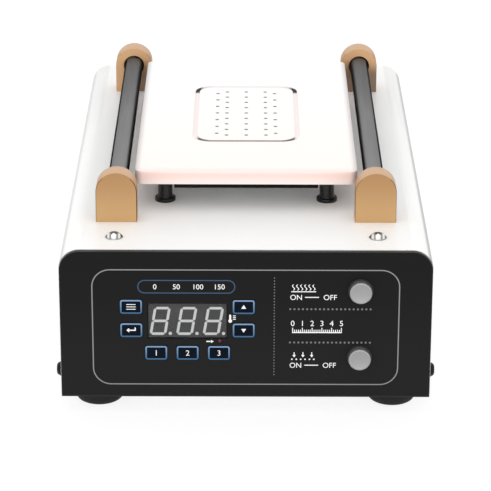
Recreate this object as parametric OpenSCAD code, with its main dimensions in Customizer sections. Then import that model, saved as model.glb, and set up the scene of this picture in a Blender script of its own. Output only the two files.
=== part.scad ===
// Desk-top screen separator: a heated suction plate on a mains powered case.
// The front faces -Y, +X is to the right and the feet stand on Z = 0.

/* [Heating plate] */
// Width of the heated plate
plate_w = 98.5; // [90:0.5:120]
// Length of the heated plate
plate_l = 164.5; // [150:0.5:190]
// Thickness of the heated plate
plate_t = 6; // [5.8:0.2:10]
// Height of the posts between the cover and the plate
post_h = 12; // [10:0.5:16]
// Diameter of each post
post_d = 6.5; // [5.5:0.1:8]
// Distance from the plate's edges to a post's axis
post_in = 13; // [10:0.5:14]
// Width of the island inside the groove, groove included
island_w = 49.3; // [44:0.1:56]
// Length of the island inside the groove, groove included
island_l = 83.2; // [80:0.2:96]
// Corner radius of the groove's outer edge
island_r = 9; // [5:0.5:12]
// Width of the groove
groove_w = 2.2; // [1:0.1:2.4]
// Depth of the groove
groove_t = 1.2; // [0.6:0.1:1.6]
// Diameter of each suction hole
hole_d = 1.8; // [1:0.1:2]
// Distance from the middle to the second columns of suction holes
hole_x = 9.1; // [6:0.1:9.4]
// Distance from the middle to the outer columns of suction holes
hole_outer_x = 13.6; // [13:0.1:14.4]
// Spacing of the holes in the three inner columns
hole_pitch = 8.05; // [6:0.05:8.2]
// Spacing of the holes in the two outer columns
hole_outer_pitch = 9.9; // [8:0.1:10]

/* [Rails and brackets] */
// Gap between the plate's sides and the rails
rail_gap = 3.1; // [2:0.1:6]
// Diameter of each round rail
rail_d = 8.9; // [7:0.1:9.5]
// Height of a rail's axis above the cover
rail_rise = 13.7; // [13:0.1:18]
// Gap between the plate's ends and the brackets
bracket_gap = 6.25; // [4:0.05:10]
// Width of each bracket, whose top is a half circle
bracket_w = 18; // [15:0.5:19]
// Thickness of each bracket along the rail
bracket_t = 9.6; // [8:0.2:12]
// How far a rail's end goes into its bracket
rail_seat = 5.8; // [4:0.2:7]

/* [Case] */
// Distance from the case's sides to the rails
rail_in = 23.5; // [21:0.1:32]
// Distance from the case's front and rear to the brackets
bracket_in = 34.9; // [30:0.1:48]
// Height of the case without its feet
case_h = 68; // [66:1:90]
// Outer radius of the cover's two long bends
bend_r = 9; // [4:0.5:12]
// Thickness of the cover and tray sheet
sheet_t = 1.2; // [1:0.1:1.6]
// Gap between the tray and the cover's side walls
tray_gap = 0.2; // [0.1:0.05:0.4]
// Thickness of the front panel plate
panel_t = 2.2; // [1.8:0.1:3]
// Height of the tray's side flanges
flange_h = 16; // [14:1:24]
// Depth of the tray's two top flanges
flange_l = 24; // [20:1:26]

/* [Feet] */
// Height of each rubber foot
foot_h = 7.5; // [6:0.5:14]
// Diameter of each rubber foot
foot_d = 21; // [16:0.2:24]
// Rounding of a foot's lower edge
foot_r = 2.6; // [1:0.2:4]
// Distance from the case side to a foot's centre
foot_in_x = 16; // [14:0.5:20]
// Distance from the case front or rear to a foot's centre
foot_in_y = 16.5; // [14:0.5:20]

/* [Front panel] */
// Place of the display's middle, left of the case's middle
window_x = 25.1; // [22:0.1:26]
// Height of the display's middle above the case's underside
window_z = 35.7; // [34:0.1:36.4]
// Width of the display window
window_w = 34.2; // [30:0.1:36]
// Height of the display window
window_h = 16.3; // [14:0.1:16.4]
// Width of each key
key_w = 9.5; // [8:0.1:10]
// Height of each key
key_h = 6.5; // [5.6:0.1:7]
// Distance from the display's middle to the side keys
key_side_x = 24.2; // [23.6:0.1:25]
// Height of the upper side keys above the display's middle
key_side_z = 6.8; // [5:0.1:7]
// Spacing of the upper and lower side keys
key_side_pitch = 10.9; // [9:0.1:11.4]
// Spacing of the three channel keys
channel_pitch = 13.55; // [11.5:0.05:14]
// Drop from the display's middle to the channel keys
channel_drop = 14.7; // [14.6:0.05:15.6]
// How far a key moves when pressed
key_travel = 0.35; // [0.2:0.05:0.4]
// Distance from the case's right side to the two push buttons
button_in_x = 31.1; // [26.3:0.2:36.3]
// Height of the lower push button above the case's underside
button_z = 19.1; // [16:0.1:20]
// Drop from the case's top to the upper push button
button_drop = 17.9; // [16:0.1:24]
// Diameter of a push button's cap
cap_d = 9.8; // [8:0.1:10]
// How far a cap stands out of the front film
cap_out = 3.6; // [3:0.1:5]
// How far a push button moves when pressed
cap_travel = 2.5; // [1.5:0.1:2.8]

/* [Vacuum pump] */
// Diameter of the pump's motor
motor_d = 27.6; // [24:0.2:28]
// Length of the pump's motor
motor_l = 38; // [30:1:44]
// Distance from the case's right side to the motor's axis
pump_in_x = 36.3; // [34.3:0.5:42.3]
// Distance from the case front to the motor's front end
pump_y = 48; // [46:0.5:60]
// Offset of the eccentric from the motor's axis
throw_r = 1.2; // [0.8:0.1:1.4]
// Diameter of the motor shaft
shaft_d = 3; // [2:0.1:4]

/* [Mains inlet] */
// Distance from the case's right side to the inlet's middle
inlet_in_x = 40.3; // [36.3:0.5:46.3]
// Height of the inlet's middle above the case's underside
inlet_z = 30; // [24:0.5:34]
// Width of the inlet's flange
inlet_w = 50; // [48:0.5:54]
// Height of the inlet's flange
inlet_h = 34; // [33:0.5:38]
// Spacing of the inlet's two screws
inlet_pitch = 40; // [38.5:0.5:41]
// How far the fuse drawer slides out
drawer_travel = 18; // [12:0.5:19]

/* [Circuit boards] */
// Width of the control board
control_w = 70; // [68:0.5:72]
// Height of the control board
control_h = 39; // [38:0.5:39.5]
// Width of the power board
power_w = 79; // [79:1:84]
// Length of the power board
power_l = 80; // [76:1:84]
// Thickness of both boards
board_t = 1.6; // [1.2:0.1:2]
// Length of the spacers under both boards
spacer_h = 7; // [6.8:0.1:8]

/* [Hidden] */
$fn = 48;

// Shared clearances: cutter overrun, tight fit, loose hole round a screw
cut = 1;
fit = 0.05;
loose = 0.2;
side_fit = 0.15;

// Film, panel and the small margins round them
film_t = 0.3;
panel_gap = 0.3;
film_gap = 0.7;
face_t = film_t + panel_t;

// Inlet parts that stand out of the rear wall
inlet_flange_t = 2.5;
drawer_lip_t = 1.5;

// The plate sets the rails, the brackets and the case round it
rail_x = plate_w / 2 + rail_gap + rail_d / 2;
bracket_span = plate_l + 2 * bracket_gap + 2 * bracket_t;
case_w = 2 * rail_x + 2 * rail_in;
case_l = bracket_span + 2 * bracket_in;

// Main planes: case underside and top, front face and rear face, middle of the rails
z_c = foot_h;
z_t = foot_h + case_h;
y_f = (cap_out - inlet_flange_t - drawer_lip_t - case_l) / 2;
y_r = y_f + case_l;
y_m = y_f + case_l / 2;
z_floor = z_c + sheet_t;
z_under = z_t - sheet_t;
tray_w = case_w - 2 * sheet_t - 2 * tray_gap;
inner_r = bend_r - sheet_t;

// Pan-head screws, M3 and M4, and the cover's side screws
m3 = 3;
m3_head_d = 5.6;
m3_head_h = 2;
m3_l = 8;
m4 = 4;
m4_head_d = 7;
m4_head_h = 2.6;
side_head_d = 6.6;
side_head_h = 3;
side_screw_l = 6;
side_screw_rise = 8;
side_screw_z = z_c + side_screw_rise;
side_screw_y = 12;
top_head_d = 7.8;
top_head_h = 2.4;
top_screw_l = 6;
top_screw_x = 57;
top_screw_y = 16.9;
recess_w = 1;
recess_l = 4.2;
recess_t = 1.2;

// Foot: screw well and web
foot_well_d = 9;
foot_web = 3;

// Brackets and rails
bracket_chamfer = 0.6;
bracket_screw_in = 4.5;
bracket_screw_depth = 5.5;
bracket_y = bracket_span / 2 - bracket_t / 2;
rail_end_gap = 0.2;
rail_chamfer = 0.6;

// Plate: corners, suction holes, pocket under them and lid seat
plate_r = 3.5;
plate_z = z_t + post_h;
inner_holes = 9;
outer_holes = 7;
pocket_w = 32;
pocket_l = 70;
pocket_t = 2.8;
lid_t = 1;
lid_margin = 2;

// Posts under the plate
post_x = plate_w / 2 - post_in;
post_y = plate_l / 2 - post_in;
post_flange_d = 9.3;
post_flange_t = 1.6;
post_grip = 3.5;

// Heater mat between the posts and the sheet that clamps it, with its screws beside the lid
mat_gap = 1;
mat_in = 4.25;
mat_w = 2 * post_x - post_d - 2 * mat_gap;
mat_l = plate_l - 2 * mat_in;
mat_t = 1.2;
clamp_t = 2;
clamp_screw_d = 2.5;
clamp_screw_l = 5.5;
clamp_head_d = 5;
clamp_head_h = 1.4;
clamp_in_y = 10;
clamp_screw_x = (mat_w / 2 + pocket_w / 2 + lid_margin) / 2;
clamp_screw_y = mat_l / 2 - clamp_in_y;

// Nozzle, grommets, probe
nozzle_d = 6;
nozzle_bore = 3.5;
nozzle_end = 11;
nozzle_z = z_under - nozzle_end;
barb_d = 7;
barb_h = 2;
grommet_neck = 9.4;
grommet_d = 12.4;
grommet_lip = 1.2;
lead_x = 24;
probe_w = 10;
probe_l = 7;
probe_t = 3;
probe_y = 16;
probe_z = plate_z - mat_t - clamp_t - probe_t;

// Keys, their switches, the indicator and the control board, measured back from the front face
key_r = 1.1;
key_proud = 0.35;
key_back = 0.5;
key_room = 0.1;
pocket_back = key_back + key_travel + key_room;
stem_d = 3.5;
tact_w = 6;
tact_t = 3.5;
stem_in = 1;
board_y = face_t + spacer_h;
tact_y = board_y - tact_t;
lens_t = 0.8;
led_x = 11.2;
led_z = 26.3;
led_d = 2;
led_base_d = 2.8;
led_base_l = 2;
led_set = 0.1;
module_margin = 0.2;
control_mid = 31.5;
spacer_d = 6;
spacer_in = 4;
opening_margin = 2;

// Push switches with their caps and nuts
button_x = case_w / 2 - button_in_x;
bezel_d = 11;
bezel_t = 0.6;
barrel_wall = 0.35;
barrel_d = cap_d + 2 * fit + 2 * barrel_wall;
barrel_l = 11;
cap_l = 4;
cap_edge = 0.7;
cap_stem_d = 4;
cap_stem_l = 6;
switch_w = 14;
switch_l = 13;
nut_t = 2.2;
nut_d = 15;
lug_w = 3;
lug_t = 0.8;
lug_l = 5;

// Panel studs
stud_in = 10;
stud_x = case_w / 2 - stud_in;
stud_low = 8;
stud_drop = 12;
stud_high = case_h - stud_drop;
stud_l = 5;
stud_nut_d = 6.4;
stud_nut_t = 2.4;

// Pump: motor and its sheet bracket
motor_cap_d = 10;
motor_cap_l = 2;
shaft_fit = 0.08;
shaft_end = 0.5;
shaft_room_d = 8;
bracket_plate = 1.5;
bracket_foot = 8;
bracket_wall_h = 30;

// Pump: crank housing and valve head
housing_w = 30;
housing_l = 22;
housing_base = 15;
housing_top = 14;
crank_room_r = 10.5;
crank_wall = 3;
chimney_d = 9;
chamber_d = 20;
chamber_h = 5;
head_h = 10;
port_d = 5;
port_l = 8;
port_x = 8;
port_wall = 1;
pump_x = case_w / 2 - pump_in_x;
pump_z = z_floor + bracket_plate + housing_base;
crank_y = y_f + pump_y + motor_l + bracket_plate;

// Pump: eccentric, rod and piston, with room for the rod's stroke round the eccentric
cam_d = 8;
cam_t = 6;
rod_gap = 0.3;
rod_t = 4;
rod_w = 5;
rod_ring_r = cam_d / 2 + 2 * throw_r + rod_gap;
rod_ring_wall = 1.6;
piston_d = 18;
piston_t = 1.6;
piston_z = housing_top - chamber_h + throw_r + rod_gap;
rod_y = crank_y + housing_l / 2;

// Mains inlet, its pins, its fuse drawer and the fuse, measured from the inlet's middle
inlet_x = case_w / 2 - inlet_in_x;
inlet_body_w = 27;
inlet_body_h = 31;
inlet_body_l = 20;
inlet_seat = 1.2;
socket_w = 24.2;
socket_h = 16.2;
socket_mid = 4;
socket_deep = 17;
socket_r = 3;
pin_w = 2;
pin_h = 4;
pin_x = 7;
pin_drop = 2;
pin_tab = 8;
pin_short = 4;
drawer_w = 22;
drawer_h = 7.2;
drawer_hold = 1;
drawer_l = drawer_travel + drawer_hold;
drawer_mid = -10;
drawer_room = 0.3;
lip_margin = 0.7;
fuse_d = 5.2;
fuse_l = 20;
fuse_cap_l = 5;
fuse_cap_wall = 0.3;
cradle_gap = 0.3;
cradle_w = 6;
cradle_floor = 1;
cradle_in = 4;
fuse_mid = inlet_flange_t - drawer_l + cradle_in;
fuse_z = z_c + inlet_z + drawer_mid - drawer_h / 2 + cradle_floor + fuse_d / 2 + fit;

// Power board and what stands on it
power_side = 5.2;
power_rear = 10;
power_mid_x = power_side + sheet_t + (power_w - tray_w) / 2;
power_y = y_r - sheet_t - power_rear - power_l / 2;
power_z = z_floor + spacer_h;
core_w = 42;
core_l = 14;
core_h = 35;
coil_w = 27;
coil_l = 28;
coil_h = 22;
transformer_x = -12;
transformer_y = 14;
fin_w = 2;
fin_out = 10;
fin_count = 5;
fin_h = 26;
fin_l = 30;
sink_base = 3;
sink_x = 24;
sink_y = 8;
triac_w = 10;
triac_t = 4.4;
triac_h = 15;
block_w = 40;
block_l = 10;
block_h = 12;
block_poles = 5;
block_y = -33;
wire_well = 4;

// Vents
vent_w = 3;
vent_h = 22;
vent_pitch = 7;
vent_count = 9;
vent_x = -36;
vent_z = 24;

// Leads and hose: diameters and the sides of a swept tube
lead_d = 1.8;
hose_d = 8;
tube_sides = 8;

// Points that the leads and the hose start from or end at
clamp_point = [lead_x, y_m, probe_z + probe_t];
grommet_point = [lead_x, y_m, z_t];
probe_point = [lead_x, y_m - probe_y + probe_l / 2, probe_z + probe_t / 2];
block_point = [power_mid_x, power_y + block_y - block_l / 2, power_z + board_t];
board_point = [-window_x, y_f + board_y + board_t, z_c + control_mid];
pin_point = [inlet_x, y_r - inlet_body_l - pin_tab, z_c + inlet_z + socket_mid - pin_drop];
motor_point = [pump_x, y_f + pump_y - motor_cap_l, pump_z];
heating_point = [button_x, y_f + barrel_l + switch_l + lug_l, z_t - button_drop];
vacuum_point = [button_x, heating_point[1], z_c + button_z];
nozzle_point = [0, y_m, nozzle_z];
port_point = [pump_x - port_x, crank_y + housing_l + port_l, pump_z + housing_top + head_h / 2];

// Routes inside the case, picked by hand as steps away from those points
function from(point, steps) = [for (step = steps) point + step];
heater_route_a = concat(
    from(clamp_point, [[-2, 6.2, 0], [-2, 6.2, -2.3], [-1.8, 3.2, -5.3]]),
    from(grommet_point, [[-1.6, 0.2, 2], [-1.6, 0, -2.5], [-1.6, 0.2, -11.5], [-4, 4.2, -21.5],
        [-14, 14.2, -29.5]]),
    from(block_point, [[29, -15.6, 20.7], [20, -8.6, 14.7], [16.4, -6, 8.7], [16, -3.2, 5.7],
        [16, 0, 5.7]])
);
heater_route_b = concat(
    from(clamp_point, [[2, 6.2, 0], [2, 6.2, -2.3], [1.8, 3.2, -5.3]]),
    from(grommet_point, [[1.6, 0.2, 2], [1.6, 0, -2.5], [1.6, 0.2, -11.5], [0, 8.2, -19.5],
        [-10, 22.2, -26.5]]),
    from(block_point, [[29, -10.6, 25.7], [15, -7.6, 18.7], [9, -6, 10.7], [8, -3.2, 5.7],
        [8, 0, 5.7]])
);
probe_route = concat(
    from(probe_point, [[0, 0, 0], [0, 2.7, 0], [0, 6.7, -1.7]]),
    from(grommet_point, [[0, -3, 3.5], [0, -2, 0.5], [0, -2, -3.5], [-1, -5.8, -11.5],
        [-12, -23.8, -19.5]]),
    from(board_point, [[16.9, 62.1, 13], [2.9, 26.1, 7], [-0.1, 9.1, 3.6], [-0.1, 3.1, 3],
        [-0.1, 0, 3]])
);
mains_route_a = concat(
    from(pin_point, [[-7, 0, 0], [-7, -3.8, 0], [-9, -14.8, -5.5], [-14, -40.8, -15.5]]),
    from(block_point, [[52, 0.4, -0.3], [41, -9.6, -2.8], [23, -14.1, -3.8], [7, -13.6, -2.3],
        [1, -9.6, 1.7], [0, -4.6, 5.7], [0, 0, 5.7]])
);
mains_route_b = concat(
    from(pin_point, [[7, 0, 0], [7, -3.8, 0], [4, -18.8, -7.5], [-4, -44.8, -18.5]]),
    from(block_point, [[55, -5.6, -4.3], [25, -18.1, -5.3], [1, -17.6, -3.3], [-7, -12.6, 0.7],
        [-8, -4.6, 5.7], [-8, 0, 5.7]])
);
pump_route = concat(
    from(motor_point, [[0, 0, 0], [0, -3.2, 0], [-2, -7.8, 2.8], [-10, -10.8, 8.8],
        [-24, -5.8, 12.8], [-44, 27.2, 10.8]]),
    from(block_point, [[13, -63.6, 14.7], [-7, -25.6, 10.7], [-15, -9.6, 6.7], [-16, -3.6, 5.7],
        [-16, 0, 5.7]])
);
heating_route = concat(
    from(heating_point, [[0, 0, 0], [0, 3.4, 0], [-5.4, 12.2, -1.2], [-25.4, 24.2, -5.6],
        [-65.4, 40.2, -9.6]]),
    from(block_point, [[-7, -73.6, 24.7], [-19, -33.6, 20.7], [-23, -3.6, 18.7], [-23, 8.4, 14.7],
        [-23, 14.4, 6.7], [-23, 14.4, 0]])
);
vacuum_route = concat(
    from(vacuum_point, [[0, 0, 0], [0, 3.4, 0], [-3.4, 6.2, 0.8], [-21.4, 4.2, 2.8],
        [-43.4, 7.2, 0.8], [-69.4, 24.2, -0.2]]),
    from(block_point, [[-17, -83.6, 7.7], [-29, -43.6, 8.7], [-30, -3.6, 10.7], [-29, 10.4, 8.7],
        [-29, 14.4, 3.7], [-29, 14.4, 0]])
);
hose_route = concat(
    from(nozzle_point, [[0, 0, -0.1], [0, 0, -6.3], [2, 0.2, -12.3], [7, 1.7, -16.5]]),
    from(port_point, [[-22, 18.7, 0.6], [-14, 18.7, 0], [-7, 17.2, 0], [-2, 13.7, 0], [0, 6.7, 0],
        [0, 0.2, 0]])
);

// A flat-ended rounded rectangle round the origin
module round_rect(w, h, r) {
    square([w - 2 * r, h], center = true);
    square([w, h - 2 * r], center = true);
    for (sx = [-1, 1], sy = [-1, 1])
        translate([sx * (w / 2 - r), sy * (h / 2 - r)]) circle(r);
}

// The case's end view: flat below, two round corners above
module arch(w, h, r) {
    translate([-w / 2, 0]) square([w, h - r]);
    translate([r - w / 2, 0]) square([w - 2 * r, h]);
    for (s = [-1, 1]) translate([s * (w / 2 - r), h - r]) circle(r);
}

// Extrudes an X-Z outline between two depths behind the front face
module between(d1, d2) {
    translate([0, y_f + d2, 0]) rotate([90, 0, 0]) linear_extrude(d2 - d1) children();
}

// Puts children on an axis that points back from the front face
module facing_back(x, z, d) {
    translate([x, y_f + d, z]) rotate([-90, 0, 0]) children();
}

// A block centred on X and Y that stands on Z = 0
module block(w, l, h) {
    translate([-w / 2, -l / 2, 0]) cube([w, l, h]);
}

// A cross recess, cut down from Z = 0
module cross_recess() {
    for (a = [0, 90]) rotate([0, 0, a])
        translate([0, 0, -recess_t]) block(recess_l, recess_w, recess_t + cut);
}

// A pan-head screw whose head sits on Z = 0 and whose shank goes down
module pan_screw(d, l, head_d, head_h) {
    difference() {
        union() {
            translate([0, 0, -l]) cylinder(d = d, h = l);
            cylinder(d = head_d, h = head_h / 2);
            translate([0, 0, head_h / 2]) cylinder(d1 = head_d, d2 = head_d - head_h, h = head_h / 2);
        }
        translate([0, 0, head_h]) cross_recess();
    }
}

module m3_screw() { pan_screw(m3, m3_l, m3_head_d, m3_head_h); }

// A hexagon nut that sits on Z = 0
module nut(d, bore, t) {
    difference() {
        cylinder(d = d, h = t, $fn = 6);
        translate([0, 0, -cut]) cylinder(d = bore, h = t + 2 * cut);
    }
}

// Both sides, or all four corners, of a mirrored layout
module both_x(x) { for (s = [-1, 1]) translate([s * x, 0, 0]) children(); }
module corners(x, y) { for (sx = [-1, 1], sy = [-1, 1]) translate([sx * x, sy * y, 0]) children(); }

// Swept tube: unit direction at each route point, a side vector and the rings
function unit(v) = v / norm(v);
function heading(p, i) = unit(i == 0 ? p[1] - p[0] : i == len(p) - 1 ? p[i] - p[i - 1]
    : unit(p[i + 1] - p[i]) + unit(p[i] - p[i - 1]));
function square_to(v, t) = unit(v - (v * t) * t);
function sides_of(p, i) = i == 0 ? [square_to([1, 0.3, 0.2], heading(p, 0))]
    : let(s = sides_of(p, i - 1)) concat(s, [square_to(s[i - 1], heading(p, i))]);
function ring(c, t, s, r) = let(b = cross(t, s))
    [for (k = [0:tube_sides - 1]) c + r * (cos(360 * k / tube_sides) * s + sin(360 * k / tube_sides) * b)];
module tube(p, d) {
    n = tube_sides;
    s = sides_of(p, len(p) - 1);
    points = [for (i = [0:len(p) - 1]) each ring(p[i], heading(p, i), s[i], d / 2)];
    walls = [for (i = [0:len(p) - 2], k = [0:n - 1]) let(m = (k + 1) % n)
        each [[i * n + k, (i + 1) * n + k, (i + 1) * n + m], [i * n + k, (i + 1) * n + m, i * n + m]]];
    low = [for (k = [1:n - 2]) [0, k, k + 1]];
    last = (len(p) - 1) * n;
    top = [for (k = [1:n - 2]) [last, last + k + 1, last + k]];
    polyhedron(points, concat(walls, low, top));
}

// Places of the keys, as X and Z
key_left = -window_x - key_side_x;
key_right = key_side_x - window_x;
key_upper = z_c + window_z + key_side_z;
key_lower = key_upper - key_side_pitch;
key_channel = z_c + window_z - channel_drop;
KEYS = [[key_left, key_upper], [key_left, key_lower], [key_right, key_upper], [key_right, key_lower],
    for (i = [-1:1]) [i * channel_pitch - window_x, key_channel]];
BUTTONS = [[button_x, z_t - button_drop], [button_x, z_c + button_z]];

module at_keys() { for (k = KEYS) translate(k) children(); }
module at_buttons() { for (b = BUTTONS) translate(b) children(); }
module at_studs() {
    for (s = [-1, 1], h = [stud_low, stud_high]) translate([s * stud_x, z_c + h]) children();
}
module at_display() { translate([-window_x, z_c + window_z]) children(); }
module at_led() { translate([-led_x, z_c + led_z]) children(); }
module at_inlet() { translate([inlet_x, z_c + inlet_z]) children(); }

module at_studs_back(d) {
    for (s = [-1, 1], h = [stud_low, stud_high]) facing_back(s * stud_x, z_c + h, d) children();
}
module at_control_corners(d) {
    for (sx = [-1, 1], sz = [-1, 1]) facing_back(sx * (control_w / 2 - spacer_in) - window_x,
        z_c + control_mid + sz * (control_h / 2 - spacer_in), d) children();
}
module at_inlet_screws(d) {
    for (s = [-1, 1]) facing_back(inlet_x + s * inlet_pitch / 2, z_c + inlet_z, d) children();
}

// Places seen from above, round the middle of the case
module at_middle(z) { translate([0, y_m, z]) children(); }
module at_feet() { at_middle(0) corners(case_w / 2 - foot_in_x, case_l / 2 - foot_in_y) children(); }
module at_posts() { corners(post_x, post_y) children(); }
module at_clamp_screws() {
    corners(clamp_screw_x, clamp_screw_y) children();
    both_x(clamp_screw_x) children();
}
module at_bracket_screws() {
    corners(rail_x - bracket_screw_in, bracket_y) children();
    corners(rail_x + bracket_screw_in, bracket_y) children();
}
module at_top_screws() { translate([0, y_f + top_screw_y, 0]) both_x(top_screw_x) children(); }
module at_grommets() { for (x = [0, lead_x]) translate([x, 0, 0]) children(); }
module at_side_screws() {
    for (s = [0, 1], y = [side_screw_y, case_l - side_screw_y])
        translate([0, y_f + y, side_screw_z]) mirror([s, 0, 0]) translate([case_w / 2, 0, 0])
            rotate([0, 90, 0]) children();
}
module at_power_corners(z) {
    translate([power_mid_x, power_y, z])
        corners(power_w / 2 - spacer_in, power_l / 2 - spacer_in) children();
}
module at_pump_screws() {
    translate([pump_x, crank_y + housing_l / 2, 0]) both_x(housing_w / 2 + bracket_foot / 2) children();
}

// Case: folded tray, folded cover and the front panel with its film
module key_opening(margin) { round_rect(key_w + 2 * margin, key_h + 2 * margin, key_r); }
module window_cut() { square([window_w, window_h], center = true); }
module wall_outline() { translate([0, z_c]) arch(tray_w, case_h - sheet_t, inner_r); }
module slot(w, h) {
    square([w, h - w], center = true);
    for (s = [-1, 1]) translate([0, s * (h - w) / 2]) circle(d = w);
}

module base_tray() color("lightgray") difference() {
    union() {
        between(face_t, face_t + sheet_t) wall_outline();
        between(case_l - sheet_t, case_l) wall_outline();
        translate([0, y_f + (face_t + case_l) / 2, z_c]) {
            block(tray_w, case_l - face_t, sheet_t);
            both_x((tray_w - sheet_t) / 2) block(sheet_t, case_l - face_t, flange_h);
        }
        for (y = [y_f + face_t + flange_l / 2, y_r - flange_l / 2])
            translate([0, y, z_under - sheet_t]) block(tray_w - 2 * bend_r, flange_l, sheet_t);
    }
    between(0, face_t + sheet_t + cut) {
        translate([-window_x, z_c + control_mid])
            square([control_w + 2 * opening_margin, control_h + 2 * opening_margin], center = true);
        at_buttons() circle(d = barrel_d + loose);
        at_studs() circle(d = m3 + loose);
    }
    between(case_l - sheet_t - cut, case_l + cut) {
        at_inlet() {
            square([inlet_body_w + loose, inlet_body_h + loose], center = true);
            both_x(inlet_pitch / 2) circle(d = m3 + 2 * fit);
        }
        for (i = [0:vent_count - 1])
            translate([vent_x + (i - (vent_count - 1) / 2) * vent_pitch, z_c + vent_z]) slot(vent_w, vent_h);
    }
    at_feet() cylinder(d = m3 + 2 * fit, h = z_floor + cut);
    at_pump_screws() cylinder(d = m3 + 2 * fit, h = z_floor + cut);
    at_top_screws() translate([0, 0, z_under - sheet_t - cut])
        cylinder(d = m4 + 2 * fit, h = sheet_t + 2 * cut);
    at_side_screws() translate([0, 0, -side_screw_l]) cylinder(d = m3 + 2 * fit, h = side_screw_l);
}

module top_cover() color("white") difference() {
    between(face_t, case_l) translate([0, z_c]) arch(case_w, case_h, bend_r);
    between(face_t - cut, case_l + cut) {
        translate([0, z_c]) arch(case_w - 2 * sheet_t, case_h - sheet_t, inner_r);
        translate([0, z_c - cut]) arch(case_w - 2 * sheet_t, case_h - bend_r, inner_r);
    }
    at_top_screws() translate([0, 0, z_under - cut]) cylinder(d = m4 + loose, h = sheet_t + 2 * cut);
    at_side_screws() translate([0, 0, -sheet_t - cut]) cylinder(d = m3 + loose, h = sheet_t + 2 * cut);
    at_middle(z_under - cut) {
        at_bracket_screws() cylinder(d = m4 + loose, h = sheet_t + 2 * cut);
        at_posts() cylinder(d = m3 + loose, h = sheet_t + 2 * cut);
        at_grommets() cylinder(d = grommet_neck + 2 * fit, h = sheet_t + 2 * cut);
    }
}

module front_panel() color("dimgray") {
    difference() {
        between(film_t, face_t) translate([0, z_c])
            arch(case_w - 2 * panel_gap, case_h - panel_gap, bend_r - panel_gap);
        between(film_t - cut, face_t + cut) {
            at_display() window_cut();
            at_keys() circle(d = stem_d + loose);
            at_led() circle(d = led_d + 2 * fit);
            at_buttons() circle(d = barrel_d + 2 * fit);
        }
        between(film_t - cut, pocket_back) at_keys() key_opening(side_fit);
    }
    at_studs_back(face_t) cylinder(d = m3, h = stud_l);
}

module front_film() color("#232325") between(0, film_t) difference() {
    translate([0, z_c + film_gap]) arch(case_w - 2 * film_gap, case_h - 2 * film_gap, bend_r - film_gap);
    at_display() window_cut();
    at_keys() key_opening(side_fit);
    at_led() circle(d = led_d + 2 * fit);
    at_buttons() circle(d = barrel_d + 2 * fit);
}

module display_window() color([0.3, 0.3, 0.3, 0.6]) between(0, lens_t)
    at_display() square([window_w - 2 * fit, window_h - 2 * fit], center = true);

// Feet and fasteners
module feet() color("#1c1c1d") at_feet() rotate_extrude() difference() {
    union() {
        square([foot_d / 2 - foot_r, foot_h]);
        translate([0, foot_r]) square([foot_d / 2, foot_h - foot_r]);
        translate([foot_d / 2 - foot_r, foot_r]) circle(foot_r);
    }
    translate([0, -cut]) square([foot_well_d / 2, foot_h - foot_web + cut]);
    square([(m3 + loose) / 2, foot_h + cut]);
}

module small_screws() color("silver") {
    at_feet() translate([0, 0, foot_h - foot_web]) rotate([180, 0, 0]) m3_screw();
    at_pump_screws() translate([0, 0, z_c]) rotate([180, 0, 0]) m3_screw();
    at_power_corners(power_z + board_t) m3_screw();
    at_control_corners(board_y + board_t) m3_screw();
    at_inlet_screws(case_l + inlet_flange_t - inlet_seat) m3_screw();
}

module side_screws() color("#1a1a1b") at_side_screws()
    pan_screw(m3, side_screw_l, side_head_d, side_head_h);

// A domed head is a slice of a ball
module top_screws() color("lightgray") at_top_screws() translate([0, 0, z_t]) difference() {
    ball = (top_head_d * top_head_d / 4 + top_head_h * top_head_h) / (2 * top_head_h);
    union() {
        intersection() {
            translate([0, 0, top_head_h - ball]) sphere(ball);
            cylinder(d = top_head_d, h = top_head_h);
        }
        translate([0, 0, -top_screw_l]) cylinder(d = m4, h = top_screw_l);
    }
    translate([0, 0, top_head_h]) cross_recess();
}

// Brackets and rails
module tombstone() {
    translate([-bracket_w / 2, 0]) square([bracket_w, rail_rise]);
    translate([0, rail_rise]) circle(d = bracket_w);
}
module bracket() color("#c49a66") difference() {
    bore = rail_d + 2 * fit;
    translate([0, bracket_t, 0]) rotate([90, 0, 0]) linear_extrude(bracket_t) tombstone();
    translate([0, bracket_t - rail_seat, rail_rise]) rotate([-90, 0, 0]) {
        cylinder(d = bore, h = rail_seat + cut);
        translate([0, 0, rail_seat - bracket_chamfer])
            cylinder(d1 = bore, d2 = bore + 2 * bracket_chamfer, h = bracket_chamfer);
    }
    translate([0, bracket_t / 2, -cut]) both_x(bracket_screw_in)
        cylinder(d = m4 + 2 * fit, h = bracket_screw_depth + fit + cut);
}
module front_bracket(s) { translate([s * rail_x, y_m - bracket_span / 2, z_t]) bracket(); }
module rear_bracket(s) {
    translate([s * rail_x, y_m + bracket_span / 2, z_t]) rotate([0, 0, 180]) bracket();
}
module front_left_bracket() { front_bracket(-1); }
module front_right_bracket() { front_bracket(1); }
module rear_left_bracket() { rear_bracket(-1); }
module rear_right_bracket() { rear_bracket(1); }

module rail(s) color("#4d4d4d") {
    l = bracket_span - 2 * bracket_t + 2 * rail_seat - 2 * rail_end_gap;
    translate([s * rail_x, y_m - l / 2, z_t + rail_rise]) rotate([-90, 0, 0]) {
        cylinder(d1 = rail_d - 2 * rail_chamfer, d2 = rail_d, h = rail_chamfer);
        translate([0, 0, rail_chamfer]) cylinder(d = rail_d, h = l - 2 * rail_chamfer);
        translate([0, 0, l - rail_chamfer])
            cylinder(d1 = rail_d, d2 = rail_d - 2 * rail_chamfer, h = rail_chamfer);
    }
}
module left_rail() { rail(-1); }
module right_rail() { rail(1); }

module bracket_screws() color("silver") at_middle(z_under) at_bracket_screws() rotate([180, 0, 0])
    pan_screw(m4, sheet_t + bracket_screw_depth, m4_head_d, m4_head_h);

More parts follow.
